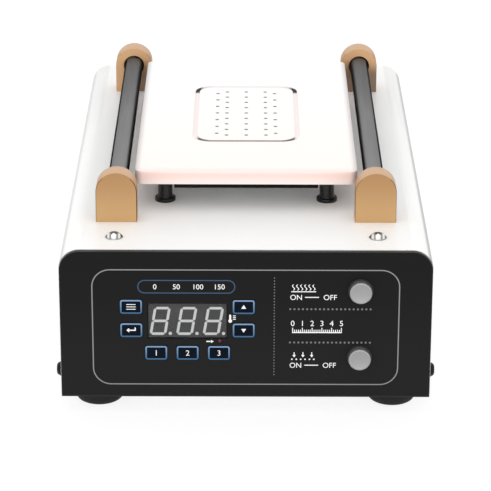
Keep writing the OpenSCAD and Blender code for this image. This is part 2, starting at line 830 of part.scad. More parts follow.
// Heated suction plate and what hangs under it
module hole_column(x, pitch, count) {
    for (i = [0:count - 1]) translate([x, (i - (count - 1) / 2) * pitch]) circle(d = hole_d, $fn = 24);
}
module heating_plate() color("#fbf3ee") at_middle(plate_z) difference() {
    linear_extrude(plate_t) round_rect(plate_w, plate_l, plate_r);
    translate([0, 0, plate_t - groove_t]) linear_extrude(groove_t + cut) difference() {
        round_rect(island_w, island_l, island_r);
        round_rect(island_w - 2 * groove_w, island_l - 2 * groove_w, island_r - groove_w);
    }
    translate([0, 0, lid_t]) linear_extrude(plate_t) {
        hole_column(0, hole_pitch, inner_holes);
        for (s = [-1, 1]) hole_column(s * hole_x, hole_pitch, inner_holes);
        for (s = [-1, 1]) hole_column(s * hole_outer_x, hole_outer_pitch, outer_holes);
    }
    translate([0, 0, -cut]) {
        block(pocket_w, pocket_l, lid_t + pocket_t + cut);
        block(pocket_w + 2 * lid_margin, pocket_l + 2 * lid_margin, lid_t + cut);
        at_posts() cylinder(d = m3 + 2 * fit, h = post_grip + loose + cut);
        at_clamp_screws()
            cylinder(d = clamp_screw_d + 2 * fit, h = clamp_screw_l - mat_t - clamp_t + loose + cut);
    }
}

module under_plate(t, hole) {
    linear_extrude(t) difference() {
        square([mat_w, mat_l], center = true);
        circle(d = nozzle_d + 2 * loose);
        at_clamp_screws() circle(d = hole);
    }
}
module heater_mat() color("#8a3324") at_middle(plate_z - mat_t) under_plate(mat_t, clamp_screw_d + loose);
module heater_clamp() color("#151515") at_middle(plate_z - mat_t - clamp_t)
    under_plate(clamp_t, clamp_screw_d + loose);
module clamp_screws() color("silver") at_middle(plate_z - mat_t - clamp_t) at_clamp_screws()
    rotate([180, 0, 0]) pan_screw(clamp_screw_d, clamp_screw_l, clamp_head_d, clamp_head_h);

module vacuum_nozzle() color("gainsboro") at_middle(0) difference() {
    union() {
        translate([0, 0, plate_z])
            block(pocket_w + 2 * lid_margin - 2 * fit, pocket_l + 2 * lid_margin - 2 * fit, lid_t);
        translate([0, 0, nozzle_z]) cylinder(d = nozzle_d, h = plate_z - nozzle_z);
        translate([0, 0, nozzle_z]) cylinder(d1 = nozzle_d, d2 = barb_d, h = barb_h);
    }
    translate([0, 0, nozzle_z - cut]) cylinder(d = nozzle_bore, h = plate_z - nozzle_z + lid_t + 2 * cut);
}

module plate_posts() color("#1b1b1b") at_middle(z_t) at_posts() difference() {
    union() {
        cylinder(d = post_d, h = post_h);
        cylinder(d = post_flange_d, h = post_flange_t);
    }
    translate([0, 0, -cut]) cylinder(d = m3 + loose, h = post_h + 2 * cut);
}
module post_screws() color("silver") at_middle(z_under) at_posts() rotate([180, 0, 0])
    pan_screw(m3, sheet_t + post_h + post_grip, m3_head_d, m3_head_h);

module temperature_probe() color("gray") translate([lead_x, y_m - probe_y, probe_z])
    block(probe_w, probe_l, probe_t);

module cover_grommets() color("#202020") at_middle(0) at_grommets() difference() {
    union() {
        translate([0, 0, z_t]) cylinder(d = grommet_d, h = grommet_lip);
        translate([0, 0, z_under - grommet_lip]) cylinder(d = grommet_d, h = grommet_lip);
        translate([0, 0, z_under]) cylinder(d = grommet_neck, h = sheet_t);
    }
    translate([0, 0, z_under - grommet_lip - cut])
        cylinder(d = nozzle_d + loose, h = sheet_t + 2 * grommet_lip + 2 * cut);
}

module vacuum_hose() color("#d8d8d0") tube(hose_route, hose_d);
module plate_leads() color("#b03030") {
    tube(heater_route_a, lead_d);
    tube(heater_route_b, lead_d);
    tube(probe_route, lead_d);
}

// Display, keys and the control board behind the panel
module display_module() color("#4a4a4a") between(lens_t, board_y) at_display()
    square([window_w - 2 * module_margin, window_h - 2 * module_margin], center = true);

module control_board() color("#1f5d3a") difference() {
    between(board_y, board_y + board_t) translate([-window_x, z_c + control_mid])
        square([control_w, control_h], center = true);
    at_control_corners(board_y - cut) cylinder(d = m3 + loose, h = board_t + 2 * cut);
}

module tact_switches() color("#2b2b2b") difference() {
    between(tact_y, board_y) at_keys() square([tact_w, tact_w], center = true);
    between(tact_y - cut, tact_y + stem_in + key_travel + key_room) at_keys() circle(d = stem_d + loose);
}

module board_spacers() color("gold") {
    at_control_corners(face_t) spacer();
    at_power_corners(z_floor) spacer();
}
module spacer() {
    difference() {
        cylinder(d = spacer_d, h = spacer_h, $fn = 6);
        translate([0, 0, -cut]) cylinder(d = m3 + 2 * fit, h = spacer_h + 2 * cut);
    }
}

module indicator_led() color("#c03a4a") {
    facing_back(-led_x, z_c + led_z, led_set) cylinder(d = led_d, h = board_y - led_base_l - led_set);
    facing_back(-led_x, z_c + led_z, board_y - led_base_l) cylinder(d = led_base_d, h = led_base_l);
}

module key(k) color("#14253c") {
    between(-key_proud, key_back) translate(KEYS[k]) key_opening(0);
    between(key_back, tact_y + stem_in) translate(KEYS[k]) circle(d = stem_d);
}
module set_key() { key(0); }
module enter_key() { key(1); }
module up_key() { key(2); }
module down_key() { key(3); }
module channel_1_key() { key(4); }
module channel_2_key() { key(5); }
module channel_3_key() { key(6); }

// Push switches: bezel and barrel through the panel, cap and stem inside
cap_bore_l = cap_l + cap_travel + key_room;
stem_bore_l = cap_l + cap_stem_l + cap_travel + key_room;
module push_switches() color("#2a2a2c") difference() {
    union() {
        between(-bezel_t, 0) at_buttons() circle(d = bezel_d);
        between(0, barrel_l) at_buttons() circle(d = barrel_d);
        between(barrel_l, barrel_l + switch_l) at_buttons() square([switch_w, switch_w], center = true);
        between(barrel_l + switch_l, barrel_l + switch_l + lug_l) at_buttons()
            square([lug_w, lug_t], center = true);
    }
    between(-bezel_t - cut, cap_bore_l) at_buttons() circle(d = cap_d + 2 * fit);
    between(0, stem_bore_l) at_buttons() circle(d = cap_stem_d + 2 * fit);
}
module button(b) color("silver") facing_back(BUTTONS[b][0], BUTTONS[b][1], -cap_out) {
    cylinder(d1 = cap_d - 2 * cap_edge, d2 = cap_d, h = cap_edge);
    translate([0, 0, cap_edge]) cylinder(d = cap_d, h = cap_out + cap_l - cap_edge);
    cylinder(d = cap_stem_d, h = cap_out + cap_l + cap_stem_l);
}
module heating_button() { button(0); }
module vacuum_button() { button(1); }
module switch_nuts() color("silver") for (b = BUTTONS)
    facing_back(b[0], b[1], face_t + sheet_t) nut(nut_d, barrel_d + 2 * fit, nut_t);
module panel_nuts() color("silver") at_studs_back(face_t + sheet_t)
    nut(stud_nut_d, m3 + 2 * fit, stud_nut_t);

// Power board and what stands on it
module on_power_board(x, y) { translate([power_mid_x + x, power_y + y, power_z + board_t]) children(); }
module power_board() color("#2c6b45") difference() {
    translate([power_mid_x, power_y, power_z]) block(power_w, power_l, board_t);
    at_power_corners(power_z - cut) cylinder(d = m3 + loose, h = board_t + 2 * cut);
}
module transformer() color("#c9a227") on_power_board(transformer_x, transformer_y) {
    block(core_w, core_l, core_h);
    translate([0, 0, (core_h - coil_h) / 2]) block(coil_w, coil_l, coil_h);
}
module triac_heatsink() color("#9aa0a6") on_power_board(sink_x, sink_y) {
    block(sink_base, fin_l, fin_h);
    fin_pitch = (fin_l - fin_w) / (fin_count - 1);
    for (i = [0:fin_count - 1])
        translate([(sink_base + fin_out) / 2, (i - (fin_count - 1) / 2) * fin_pitch, 0])
            block(fin_out, fin_w, fin_h);
    translate([-(sink_base + triac_t) / 2, 0, 0]) block(triac_t, triac_w, triac_h);
}
module terminal_block() color("#2f7d4f") on_power_board(0, block_y) difference() {
    block(block_w, block_l, block_h);
    for (i = [0:block_poles - 1])
        translate([(i - (block_poles - 1) / 2) * block_w / block_poles, 0, block_h - wire_well])
            cylinder(d = wire_well, h = wire_well + cut);
}

// Vacuum pump: motor, sheet bracket, crank housing, valve head, rotor and rod
module on_pump_axis(y) { translate([pump_x, y, pump_z]) rotate([-90, 0, 0]) children(); }
module pump_motor() color("#b9bcc0") difference() {
    union() {
        on_pump_axis(y_f + pump_y) cylinder(d = motor_d, h = motor_l);
        on_pump_axis(y_f + pump_y - motor_cap_l) cylinder(d = motor_cap_d, h = motor_cap_l);
    }
    on_pump_axis(y_f + pump_y + motor_l / 2) cylinder(d = shaft_d + 2 * shaft_fit, h = motor_l);
}
module pump_bracket() color("silver") difference() {
    translate([pump_x, 0, z_floor]) {
        translate([0, crank_y - bracket_plate / 2, 0]) block(housing_w, bracket_plate, bracket_wall_h);
        translate([0, crank_y + (housing_l - bracket_plate) / 2, 0])
            block(housing_w + 2 * bracket_foot, housing_l + bracket_plate, bracket_plate);
    }
    on_pump_axis(crank_y - bracket_plate - cut) cylinder(d = shaft_room_d, h = bracket_plate + 2 * cut);
    at_pump_screws() cylinder(d = m3 + 2 * fit, h = z_floor + bracket_plate + cut);
}
module pump_housing() color("#3a3d42") difference() {
    translate([pump_x, crank_y + housing_l / 2, pump_z - housing_base])
        block(housing_w, housing_l, housing_base + housing_top);
    on_pump_axis(crank_y - cut) cylinder(r = crank_room_r, h = housing_l - crank_wall + cut);
    translate([pump_x, rod_y, pump_z]) {
        cylinder(d = chimney_d, h = housing_top + cut);
        translate([0, 0, housing_top - chamber_h]) cylinder(d = chamber_d, h = chamber_h + cut);
    }
}
module pump_head() color("#24262a") translate([pump_x, 0, pump_z + housing_top]) {
    translate([0, crank_y + housing_l / 2, 0]) block(housing_w, housing_l, head_h);
    both_x(port_x) translate([0, crank_y + housing_l, head_h / 2]) rotate([-90, 0, 0])
        difference() {
            cylinder(d = port_d, h = port_l);
            translate([0, 0, port_wall]) cylinder(d = port_d - 2 * port_wall, h = port_l);
        }
}
module pump_rotor() color("darkgray") {
    on_pump_axis(y_f + pump_y + motor_l / 2 + shaft_end)
        cylinder(d = shaft_d, h = rod_y - y_f - pump_y - motor_l / 2);
    on_pump_axis(rod_y - cam_t / 2) translate([throw_r, 0, 0]) cylinder(d = cam_d, h = cam_t);
}
module pump_rod() color("#8c8f94") translate([pump_x, rod_y, pump_z]) {
    difference() {
        union() {
            rotate([-90, 0, 0]) translate([0, 0, -rod_t / 2])
                cylinder(r = rod_ring_r + rod_ring_wall, h = rod_t);
            block(rod_w, rod_t, piston_z);
        }
        rotate([-90, 0, 0]) translate([0, 0, -rod_t / 2 - cut])
            cylinder(r = rod_ring_r, h = rod_t + 2 * cut);
    }
    translate([0, 0, piston_z]) cylinder(d = piston_d, h = piston_t);
}

// Mains inlet with its pins and fuse drawer, laid out round its middle and back from the flange
module inlet_solid(d1, d2) { between(case_l + d1, case_l + d2) at_inlet() children(); }
module power_inlet() color("#1d1d1f") difference() {
    union() {
        inlet_solid(0, inlet_flange_t) round_rect(inlet_w, inlet_h, socket_r);
        inlet_solid(-inlet_body_l, 0) square([inlet_body_w, inlet_body_h], center = true);
    }
    inlet_solid(inlet_flange_t - socket_deep, inlet_flange_t + cut) translate([0, socket_mid])
        round_rect(socket_w, socket_h, socket_r);
    inlet_solid(inlet_flange_t - drawer_l - drawer_room, inlet_flange_t + cut) translate([0, drawer_mid])
        square([drawer_w + 2 * side_fit, drawer_h + 2 * side_fit], center = true);
    inlet_solid(-inlet_body_l - cut, inlet_flange_t) at_pins() pin_outline(fit);
    inlet_solid(-cut, inlet_flange_t + cut) both_x(inlet_pitch / 2) circle(d = m3 + loose);
    inlet_solid(inlet_flange_t - inlet_seat, inlet_flange_t + cut) both_x(inlet_pitch / 2)
        circle(d = m3_head_d + loose);
}
module at_pins() {
    translate([0, socket_mid]) {
        for (s = [-1, 1]) translate([s * pin_x, -pin_drop]) children();
        translate([0, pin_drop]) children();
    }
}
module pin_outline(margin) { square([pin_w + 2 * margin, pin_h + 2 * margin], center = true); }
module inlet_pins() color("silver")
    inlet_solid(-inlet_body_l - pin_tab, inlet_flange_t - pin_short) at_pins() pin_outline(0);
module fuse_drawer() color("#161618") difference() {
    union() {
        inlet_solid(inlet_flange_t, inlet_flange_t + drawer_lip_t) translate([0, drawer_mid])
            square([drawer_w + 2 * lip_margin, drawer_h + 2 * lip_margin], center = true);
        inlet_solid(inlet_flange_t - drawer_l, inlet_flange_t) translate([0, drawer_mid])
            square([drawer_w, drawer_h], center = true);
    }
    inlet_solid(fuse_mid - cradle_w / 2, fuse_mid + cradle_w / 2)
        translate([0, drawer_mid + cradle_floor]) square([fuse_l + 2 * cradle_gap, drawer_h], center = true);
}
module fuse() color([0.9, 0.9, 0.88]) translate([inlet_x, y_r + fuse_mid, fuse_z]) rotate([0, 90, 0]) {
    translate([0, 0, -fuse_l / 2]) cylinder(d = fuse_d - 2 * fuse_cap_wall, h = fuse_l);
    for (s = [0, 1]) mirror([0, 0, s]) translate([0, 0, fuse_l / 2 - fuse_cap_l])
        cylinder(d = fuse_d, h = fuse_cap_l);
}

module case_wiring() color("#7a2b2b") {
    for (r = [mains_route_a, mains_route_b, pump_route, heating_route, vacuum_route]) tube(r, lead_d);
}

base_tray();
top_cover();
front_panel();
front_film();
display_window();
feet();
small_screws();
side_screws();
top_screws();
front_left_bracket();
front_right_bracket();
rear_left_bracket();
rear_right_bracket();
left_rail();
right_rail();
bracket_screws();
heating_plate();
heater_mat();
heater_clamp();
clamp_screws();
vacuum_nozzle();
plate_posts();
post_screws();
temperature_probe();
vacuum_hose();
cover_grommets();
plate_leads();
display_module();
control_board();
tact_switches();
board_spacers();
indicator_led();
set_key();
enter_key();
up_key();
down_key();
channel_1_key();
channel_2_key();
channel_3_key();
push_switches();
heating_button();
vacuum_button();
switch_nuts();
panel_nuts();
power_board();
transformer();
triac_heatsink();
terminal_block();
pump_motor();
pump_housing();
pump_head();
pump_rotor();
pump_rod();
pump_bracket();
power_inlet();
inlet_pins();
fuse_drawer();
fuse();
case_wiring();
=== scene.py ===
# A desk-top separator for glued screens: a sheet case, two guarded rails and a heated suction plate.
import math
import bmesh
import bpy
from mathutils import Matrix, Vector


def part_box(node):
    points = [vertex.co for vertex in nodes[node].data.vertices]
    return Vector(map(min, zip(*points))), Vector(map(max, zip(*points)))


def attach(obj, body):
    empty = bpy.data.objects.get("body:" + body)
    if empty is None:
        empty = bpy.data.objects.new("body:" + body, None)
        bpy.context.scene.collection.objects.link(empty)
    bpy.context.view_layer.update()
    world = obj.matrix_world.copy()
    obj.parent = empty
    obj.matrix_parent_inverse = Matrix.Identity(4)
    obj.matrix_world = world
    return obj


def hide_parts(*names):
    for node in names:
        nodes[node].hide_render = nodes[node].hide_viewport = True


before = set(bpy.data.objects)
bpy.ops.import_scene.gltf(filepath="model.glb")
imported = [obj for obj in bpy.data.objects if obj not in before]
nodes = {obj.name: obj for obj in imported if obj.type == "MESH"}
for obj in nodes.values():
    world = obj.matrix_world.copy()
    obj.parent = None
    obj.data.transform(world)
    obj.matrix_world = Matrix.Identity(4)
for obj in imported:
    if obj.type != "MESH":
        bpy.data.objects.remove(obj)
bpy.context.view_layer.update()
mm = 0.001


# Camera: a long lens in front of the case and a little above it, as a catalogue picture is taken.
def placed(name, data):
    """An object in the scene that holds a mesh, a curve, a lamp or a camera."""
    made = bpy.data.objects.new(name, data)
    bpy.context.scene.collection.objects.link(made)
    return made


camera_data = bpy.data.cameras.new("camera")
camera_data.sensor_width = 36
camera_data.lens = 185.48
camera_data.clip_end = 20
camera = placed("camera", camera_data)
camera_place = Matrix.Translation((-0.2 * mm, -1135.25 * mm, 469.86 * mm))
camera_tilt = Matrix.Rotation(math.radians(90 - 21.344), 4, "X")
camera_roll = Matrix.Rotation(math.radians(0.154), 4, "Z")
camera.matrix_world = camera_place @ camera_tilt @ camera_roll
bpy.context.scene.camera = camera
bpy.context.scene.view_settings.view_transform = "Standard"


# Room: a plain white studio. What the camera and the reflections see is white at a strength of 1,
# and the light that falls on the object from all round is softer.
def srgb(code):
    """The linear colour of an sRGB hex value."""
    parts = [int(code[i:i + 2], 16) / 255 for i in (1, 3, 5)]
    linear = [c / 12.92 if c <= 0.04045 else ((c + 0.055) / 1.055) ** 2.4 for c in parts]
    return (*linear, 1.0)


def add(tree, kind, inputs=None, **settings):
    """Adds a node, gives it its settings, and sets or links its inputs by name or number. A node
    that is given for an input stands for its first output."""
    node = tree.nodes.new(kind)
    for name, value in settings.items():
        setattr(node, name, value)
    for name, value in (inputs or {}).items():
        if isinstance(value, bpy.types.Node):
            value = value.outputs[0]
        if isinstance(value, bpy.types.NodeSocket):
            tree.links.new(value, node.inputs[name])
        else:
            node.inputs[name].default_value = value
    return node


def by_ray(tree, lit, seen):
    """One shader for the light that reaches the object, and one for what the eye and gloss see."""
    ray = add(tree, "ShaderNodeLightPath").outputs
    sharp = add(tree, "ShaderNodeMath", {0: ray["Is Camera Ray"], 1: ray["Is Glossy Ray"]},
                operation="MAXIMUM")
    clear = add(tree, "ShaderNodeMath", {0: sharp, 1: ray["Is Transmission Ray"]}, operation="MAXIMUM")
    return add(tree, "ShaderNodeMixShader", {0: clear, 1: lit, 2: seen})


world = bpy.data.worlds.new("studio")
bpy.context.scene.world = world
world.use_nodes = True
room = world.node_tree
room.nodes.clear()
room_light = add(room, "ShaderNodeBackground", {"Color": srgb("#ffffff"), "Strength": 0.9})
room_seen = add(room, "ShaderNodeBackground", {"Color": srgb("#ffffff"), "Strength": 1.0})
add(room, "ShaderNodeOutputWorld", {"Surface": by_ray(room, room_light, room_seen)})


# Floor: a pale matt board that keeps the object's shadow and is white where the camera sees it lit.
floor_mesh = bpy.data.meshes.new("floor")
floor_mesh.from_pydata([(-6, -6, 0), (6, -6, 0), (6, 6, 0), (-6, 6, 0)], [], [(0, 1, 2, 3)])
floor = placed("floor", floor_mesh)
floor_paint = bpy.data.materials.new("matt_floor_paint")
floor_paint.use_nodes = True
paint = floor_paint.node_tree
paint.nodes.clear()
floor_body = add(paint, "ShaderNodeBsdfDiffuse", {"Color": srgb("#f2f2f2")})
floor_half = add(paint, "ShaderNodeBsdfDiffuse", {"Color": srgb("#787878")})
floor_lift = add(paint, "ShaderNodeEmission", {"Color": srgb("#ffffff"), "Strength": 0.85})
floor_both = add(paint, "ShaderNodeAddShader", {0: floor_half, 1: floor_lift})
add(paint, "ShaderNodeOutputMaterial", {"Surface": by_ray(paint, floor_body, floor_both)})
floor_mesh.materials.append(floor_paint)


# Lamps: one large soft box overhead, a little in front and left, and a long low one in front, whose
# light reaches under the plate.
def soft_box(name, place, aim, width, height, watts):
    lamp = bpy.data.lights.new(name, "AREA")
    lamp.shape = "RECTANGLE"
    lamp.size = width
    lamp.size_y = height
    lamp.energy = watts
    holder = placed(name, lamp)
    holder.location = place
    holder.rotation_euler = (Vector(aim) - Vector(place)).to_track_quat("-Z", "Y").to_euler()


soft_box("overhead_box", (-0.15, -0.2, 1.5), (0, 0, 0.05), 1.2, 1.2, 2.4)
soft_box("front_box", (0, -1.5, 0.42), (0, 0, 0.08), 3.0, 0.3, 7.5)


# Tray: the lower half of the case, folded from 1.2 mm steel and powder coated white.
# It carries the feet, the boards, the pump and the inlet, and its rear wall has the air slots.
def mesh_object(name, shape):
    """An object that holds a finished bmesh, whose lengths are metres."""
    mesh = bpy.data.meshes.new(name)
    shape.to_mesh(mesh)
    shape.free()
    return placed(name, mesh)


def loose_copy(node, name):
    """A merged copy of a solid's mesh, its flat faces whole and its round ones smooth."""
    shape = bmesh.new()
    shape.from_mesh(nodes[node].data)
    bmesh.ops.remove_doubles(shape, verts=shape.verts, dist=0.001 * mm)
    bmesh.ops.dissolve_limit(shape, angle_limit=math.radians(0.5), verts=shape.verts, edges=shape.edges)
    for face in shape.faces:
        face.smooth = True
    return mesh_object(name, shape)


def settled(piece):
    """A plain mesh of a piece as its modifiers leave it."""
    graph = bpy.context.evaluated_depsgraph_get()
    return bpy.data.meshes.new_from_object(piece.evaluated_get(graph))


def bevelled(piece, radius, steps, limit):
    """Rounds a piece's edges, either the sharp ones or those that carry a weight."""
    bevel = piece.modifiers.new("rounded_edges", "BEVEL")
    bevel.width = radius * mm
    bevel.segments = steps
    bevel.limit_method = limit
    bevel.harden_normals = limit == "ANGLE"
    mesh = settled(piece)
    piece.modifiers.clear()
    piece.data = mesh


def is_flat(face):
    """Whether a face looks straight along one of the piece's own axes."""
    return max(abs(c) for c in face.normal) > 0.9999


def ease_edges(piece, radius, steps=2):
    """Takes the sharpness off a piece's edges, as a tool, a coat of paint or a mould does. A flat
    face keeps its own normal up to its corners, so a long one stays even in the light."""
    bevelled(piece, radius, steps, "ANGLE")
    normals = [corner.vector.copy() for corner in piece.data.corner_normals]
    for face in filter(is_flat, piece.data.polygons):
        for corner in face.loop_indices:
            normals[corner] = face.normal.copy()
    piece.data.normals_split_custom_set(normals)
    return piece


def dress(piece, material, slot=None, *stands_for, body="case"):
    """Gives a piece its finish and its body, and hides the solids that it stands for. Its slot is not used.
    """
    piece.data.materials.clear()
    piece.data.materials.append(material)
    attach(piece, body)
    if stands_for:
        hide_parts(*stands_for)
    return piece


def pattern(tree, spacing, stretch, detail):
    """A noise over the piece whose lumps lie a real distance in millimetres apart."""
    place = add(tree, "ShaderNodeTexCoord")
    lie = add(tree, "ShaderNodeMapping", {"Vector": place.outputs["Object"], "Scale": stretch})
    return add(tree, "ShaderNodeTexNoise", {"Vector": lie, "Scale": 1 / (spacing * mm),
                                            "Detail": detail, "Roughness": 0.55})


def eased(node, name, material, slot, radius, steps=2, body="case"):
    """A solid's own shape with its edges eased, dressed to stand for it."""
    piece = ease_edges(loose_copy(node, name), radius, steps)
    return dress(piece, material, slot, node, body=body)


def finish(name, colour, spacing, depth, smooth, rough, stretch=(1, 1, 1), gloss=0.5, **constants):
    """A material with bumps of a real spacing and depth and a roughness that follows them. What is
    the same all over, as how much it mirrors, is set on the shader's own sockets."""
    material = bpy.data.materials.new(name)
    material.use_nodes = True
    tree = material.node_tree
    shader = tree.nodes["Principled BSDF"]
    shader.inputs["Base Color"].default_value = srgb(colour)
    shader.inputs["Specular IOR Level"].default_value = gloss
    for socket, value in constants.items():
        shader.inputs[socket.replace("_", " ")].default_value = value
    lumps = pattern(tree, spacing, stretch, 3.0)
    level = add(tree, "ShaderNodeMapRange", {"Value": lumps, "From Min": 0.3, "From Max": 0.7,
                                             "To Min": smooth, "To Max": rough})
    bump = add(tree, "ShaderNodeBump", {"Height": lumps, "Distance": depth * mm})
    tree.links.new(level.outputs[0], shader.inputs["Roughness"])
    tree.links.new(bump.outputs[0], shader.inputs["Normal"])
    return material


def blend(material, value, low, high, first, last, course="LINEAR"):
    """Paints a material from one tone to another while a value goes from low to high."""
    tree = material.node_tree
    share = add(tree, "ShaderNodeMapRange", {"Value": value, "From Min": low, "From Max": high},
                interpolation_type=course)
    pair = [srgb(tone) if isinstance(tone, str) else tone for tone in (first, last)]
    mix = add(tree, "ShaderNodeMix", {"Factor": share, "A": pair[0], "B": pair[1]}, data_type="RGBA")
    tree.links.new(mix.outputs["Result"], tree.nodes["Principled BSDF"].inputs["Base Color"])
    return mix.outputs["Result"]


def drift(material, dark, light, spacing, stretch=(1, 1, 1)):
    """Lets a colour wander between two tones over a real distance."""
    blend(material, pattern(material.node_tree, spacing, stretch, 4.0), 0.3, 0.7, dark, light)


# Baked powder enamel: a bright even white with a faint orange peel that blurs what it mirrors.
white_enamel = finish("white_powder_enamel", "#fafaf9", 2.2, 0.0015, 0.3, 0.38, IOR=1.5, gloss=0.35)
drift(white_enamel, "#f9f9f8", "#fcfcfb", 40)
eased("base_tray", "folded_tray", white_enamel, "white_enamel", 0.25)


# Feet: four moulded rubber discs screwed under the tray's corners, each with a well for its screw,
# a soft lower edge and a flat top.
def rounded(points, steps=5, closed=True):
    """A line through x, y points, with each corner rounded by the point's third number."""
    line = []
    for i, (x, y, r) in enumerate(points):
        if r == 0 or (not closed and i in (0, len(points) - 1)):
            line.append((x, y))
            continue
        here = Vector((x, y))
        back = (Vector(points[i - 1][:2]) - here).normalized()
        ahead = (Vector(points[(i + 1) % len(points)][:2]) - here).normalized()
        half = back.angle(ahead) / 2
        middle = here + (back + ahead).normalized() * (r / math.sin(half))
        start = here + back * (r / math.tan(half)) - middle
        side = 1 if back.x * ahead.y - back.y * ahead.x < 0 else -1
        for k in range(steps + 1):
            turn = Matrix.Rotation(side * (math.pi - 2 * half) * k / steps, 2)
            line.append(tuple(middle + turn @ start))
    return line


def turned(name, line, sides, closed=True):
    """A lathe shape round Z from (radius, height) pairs in millimetres."""
    shape = bmesh.new()
    rings = []
    for radius, height in line:
        if radius < 1e-6:
            rings.append([shape.verts.new((0, 0, height * mm))])
            continue
        angles = [2 * math.pi * k / sides for k in range(sides)]
        ring = [(radius * mm * math.cos(a), radius * mm * math.sin(a), height * mm) for a in angles]
        rings.append([shape.verts.new(spot) for spot in ring])
    for low, high in zip(rings, rings[1:] + (rings[:1] if closed else [])):
        for k in range(sides):
            m = (k + 1) % sides
            corners = [low[k % len(low)], low[m % len(low)], high[m % len(high)], high[k % len(high)]]
            corners = list(dict.fromkeys(corners))
            if len(corners) > 2:
                shape.faces.new(corners)
    bmesh.ops.recalc_face_normals(shape, faces=shape.faces)
    for face in shape.faces:
        face.smooth = True
    made = mesh_object(name, shape)
    made.data.set_sharp_from_angle(angle=math.radians(40))
    return made


def grown(name, source, points, material, settings, build, *spent):
    """Runs a Geometry Nodes tree on a mesh of points, turns its result into a plain mesh and clears
    away what it was made from. Each setting is a named input of the tree."""
    settings["Finish"] = ("Material", material)
    tree = bpy.data.node_groups.new(name, "GeometryNodeTree")
    face = tree.interface
    face.new_socket(source, in_out="INPUT", socket_type="NodeSocketGeometry")
    given = {face.new_socket(key, in_out="INPUT", socket_type="NodeSocket" + kind).identifier: value
             for key, (kind, value) in settings.items()}
    face.new_socket("Result", in_out="OUTPUT", socket_type="NodeSocketGeometry")
    start = add(tree, "NodeGroupInput").outputs
    real = add(tree, "GeometryNodeRealizeInstances", {"Geometry": build(tree, start)})
    dressed = add(tree, "GeometryNodeSetMaterial", {"Geometry": real, "Material": start["Finish"]})
    add(tree, "NodeGroupOutput", {"Result": dressed})
    holder = placed(name + "_holder", points)
    run = holder.modifiers.new("set_out", "NODES")
    run.node_group = tree
    for identifier, value in given.items():
        run[identifier] = value
    mesh = settled(holder)
    mesh.name = name
    for old in (holder, *spent):
        bpy.data.objects.remove(old)
    return placed(name, mesh)


def set_out(name, shape, places, material, slot, *stands_for, body="case", spin=0.0, seed=1):
    """Geometry Nodes put a copy of a shape at each place, which is a point and three turns."""
    def build(tree, start):
        original = add(tree, "GeometryNodeObjectInfo", {"Object": start["Shape"]})
        turns = add(tree, "GeometryNodeInputNamedAttribute", {"Name": "turns"}, data_type="FLOAT_VECTOR")
        copies = add(tree, "GeometryNodeInstanceOnPoints",
                     {"Points": start["Places"], "Instance": original.outputs["Geometry"],
                      "Rotation": turns.outputs["Attribute"]})
        chance = add(tree, "FunctionNodeRandomValue", {"Max": start["Spin"], "Seed": start["Seed"]},
                     data_type="FLOAT")
        about = add(tree, "ShaderNodeCombineXYZ", {"Z": chance.outputs["Value"]})
        return add(tree, "GeometryNodeRotateInstances", {"Instances": copies, "Rotation": about})

    points = bpy.data.meshes.new(name + "_places")
    points.from_pydata([Vector(place) * mm for place, lie in places], [], [])
    lies = points.attributes.new("turns", "FLOAT_VECTOR", "POINT")
    for spot, (place, lie) in zip(lies.data, places):
        spot.vector = [math.radians(a) for a in lie]
    settings = {"Shape": ("Object", shape), "Spin": ("Float", spin), "Seed": ("Int", seed)}
    made = grown(name, "Places", points, material, settings, build, shape)
    return dress(made, material, slot, *stands_for, body=body)


# Moulded rubber: near black and dull, with a fine bloom that only a grazing light shows.
rubber = finish("moulded_black_rubber", "#171718", 0.5, 0.02, 0.5, 0.7, IOR=1.52, gloss=0.25)
foot_line = rounded(
    [(1.6, 4.5, 0), (4.5, 4.5, 0), (4.5, 0, 0.4), (10.5, 0, 2.6), (10.5, 7.5, 0.4), (1.6, 7.5, 0)], 7)
middle_y = -0.2
foot_places = [((x, y + middle_y, 0), (0, 0, 0)) for x in (-64.3, 64.3) for y in (-116.5, 116.5)]
set_out("rubber_feet", turned("foot", foot_line, 72), foot_places, rubber, "black_rubber", "feet")


# Screws inside the case: zinc plated pan heads and nuts that hold feet, boards, pump and brackets.
# Their solids stay, with a finish that shows the plating.
def refinish(material, *names):
    """Gives a better material to solids whose shape is right."""
    for name in names:
        for slot in nodes[name].material_slots:
            slot.material = material


# Bright zinc plate: pale metal, slightly blue, with a fine mottled passivation.
zinc_plate = finish("zinc_plated_steel", "#b9bcbf", 0.3, 0.004, 0.28, 0.42, Metallic=1.0)
drift(zinc_plate, "#aeb2b6", "#c4c6c8", 2.5)
refinish(zinc_plate, "small_screws", "bracket_screws", "clamp_screws", "post_screws",
         "switch_nuts", "panel_nuts", "pump_bracket")


# Power board: a glass-epoxy board on brass spacers, with a transformer, a heatsink and the
# terminal block for the heater, mains and pump leads.
board_mask = finish(
    "green_solder_mask", "#1f5d3a", 1.2, 0.01, 0.3, 0.45, IOR=1.5, Coat_Weight=0.4, Coat_Roughness=0.15)
drift(board_mask, "#194f31", "#2a7048", 5, (1, 0.25, 1))
refinish(board_mask, "power_board", "control_board")
# Turned brass: warm yellow metal with fine rings from the tool.
turned_brass = finish("turned_brass", "#c9a55a", 0.2, 0.004, 0.22, 0.36, (0.2, 0.2, 1), Metallic=1.0)
refinish(turned_brass, "board_spacers")
# Winding tape over the coil: an even yellow polyester film with soft wraps.
refinish(finish("yellow_winding_tape", "#c9a227", 1.0, 0.03, 0.35, 0.5, (0.2, 0.2, 1), IOR=1.55),
         "transformer")
# Extruded aluminium: pale grey metal with long die lines.
extruded_aluminium = finish(
    "extruded_aluminium", "#a3a8ad", 0.25, 0.006, 0.3, 0.45, (1, 1, 0.05), Metallic=1.0)
refinish(extruded_aluminium, "triac_heatsink")
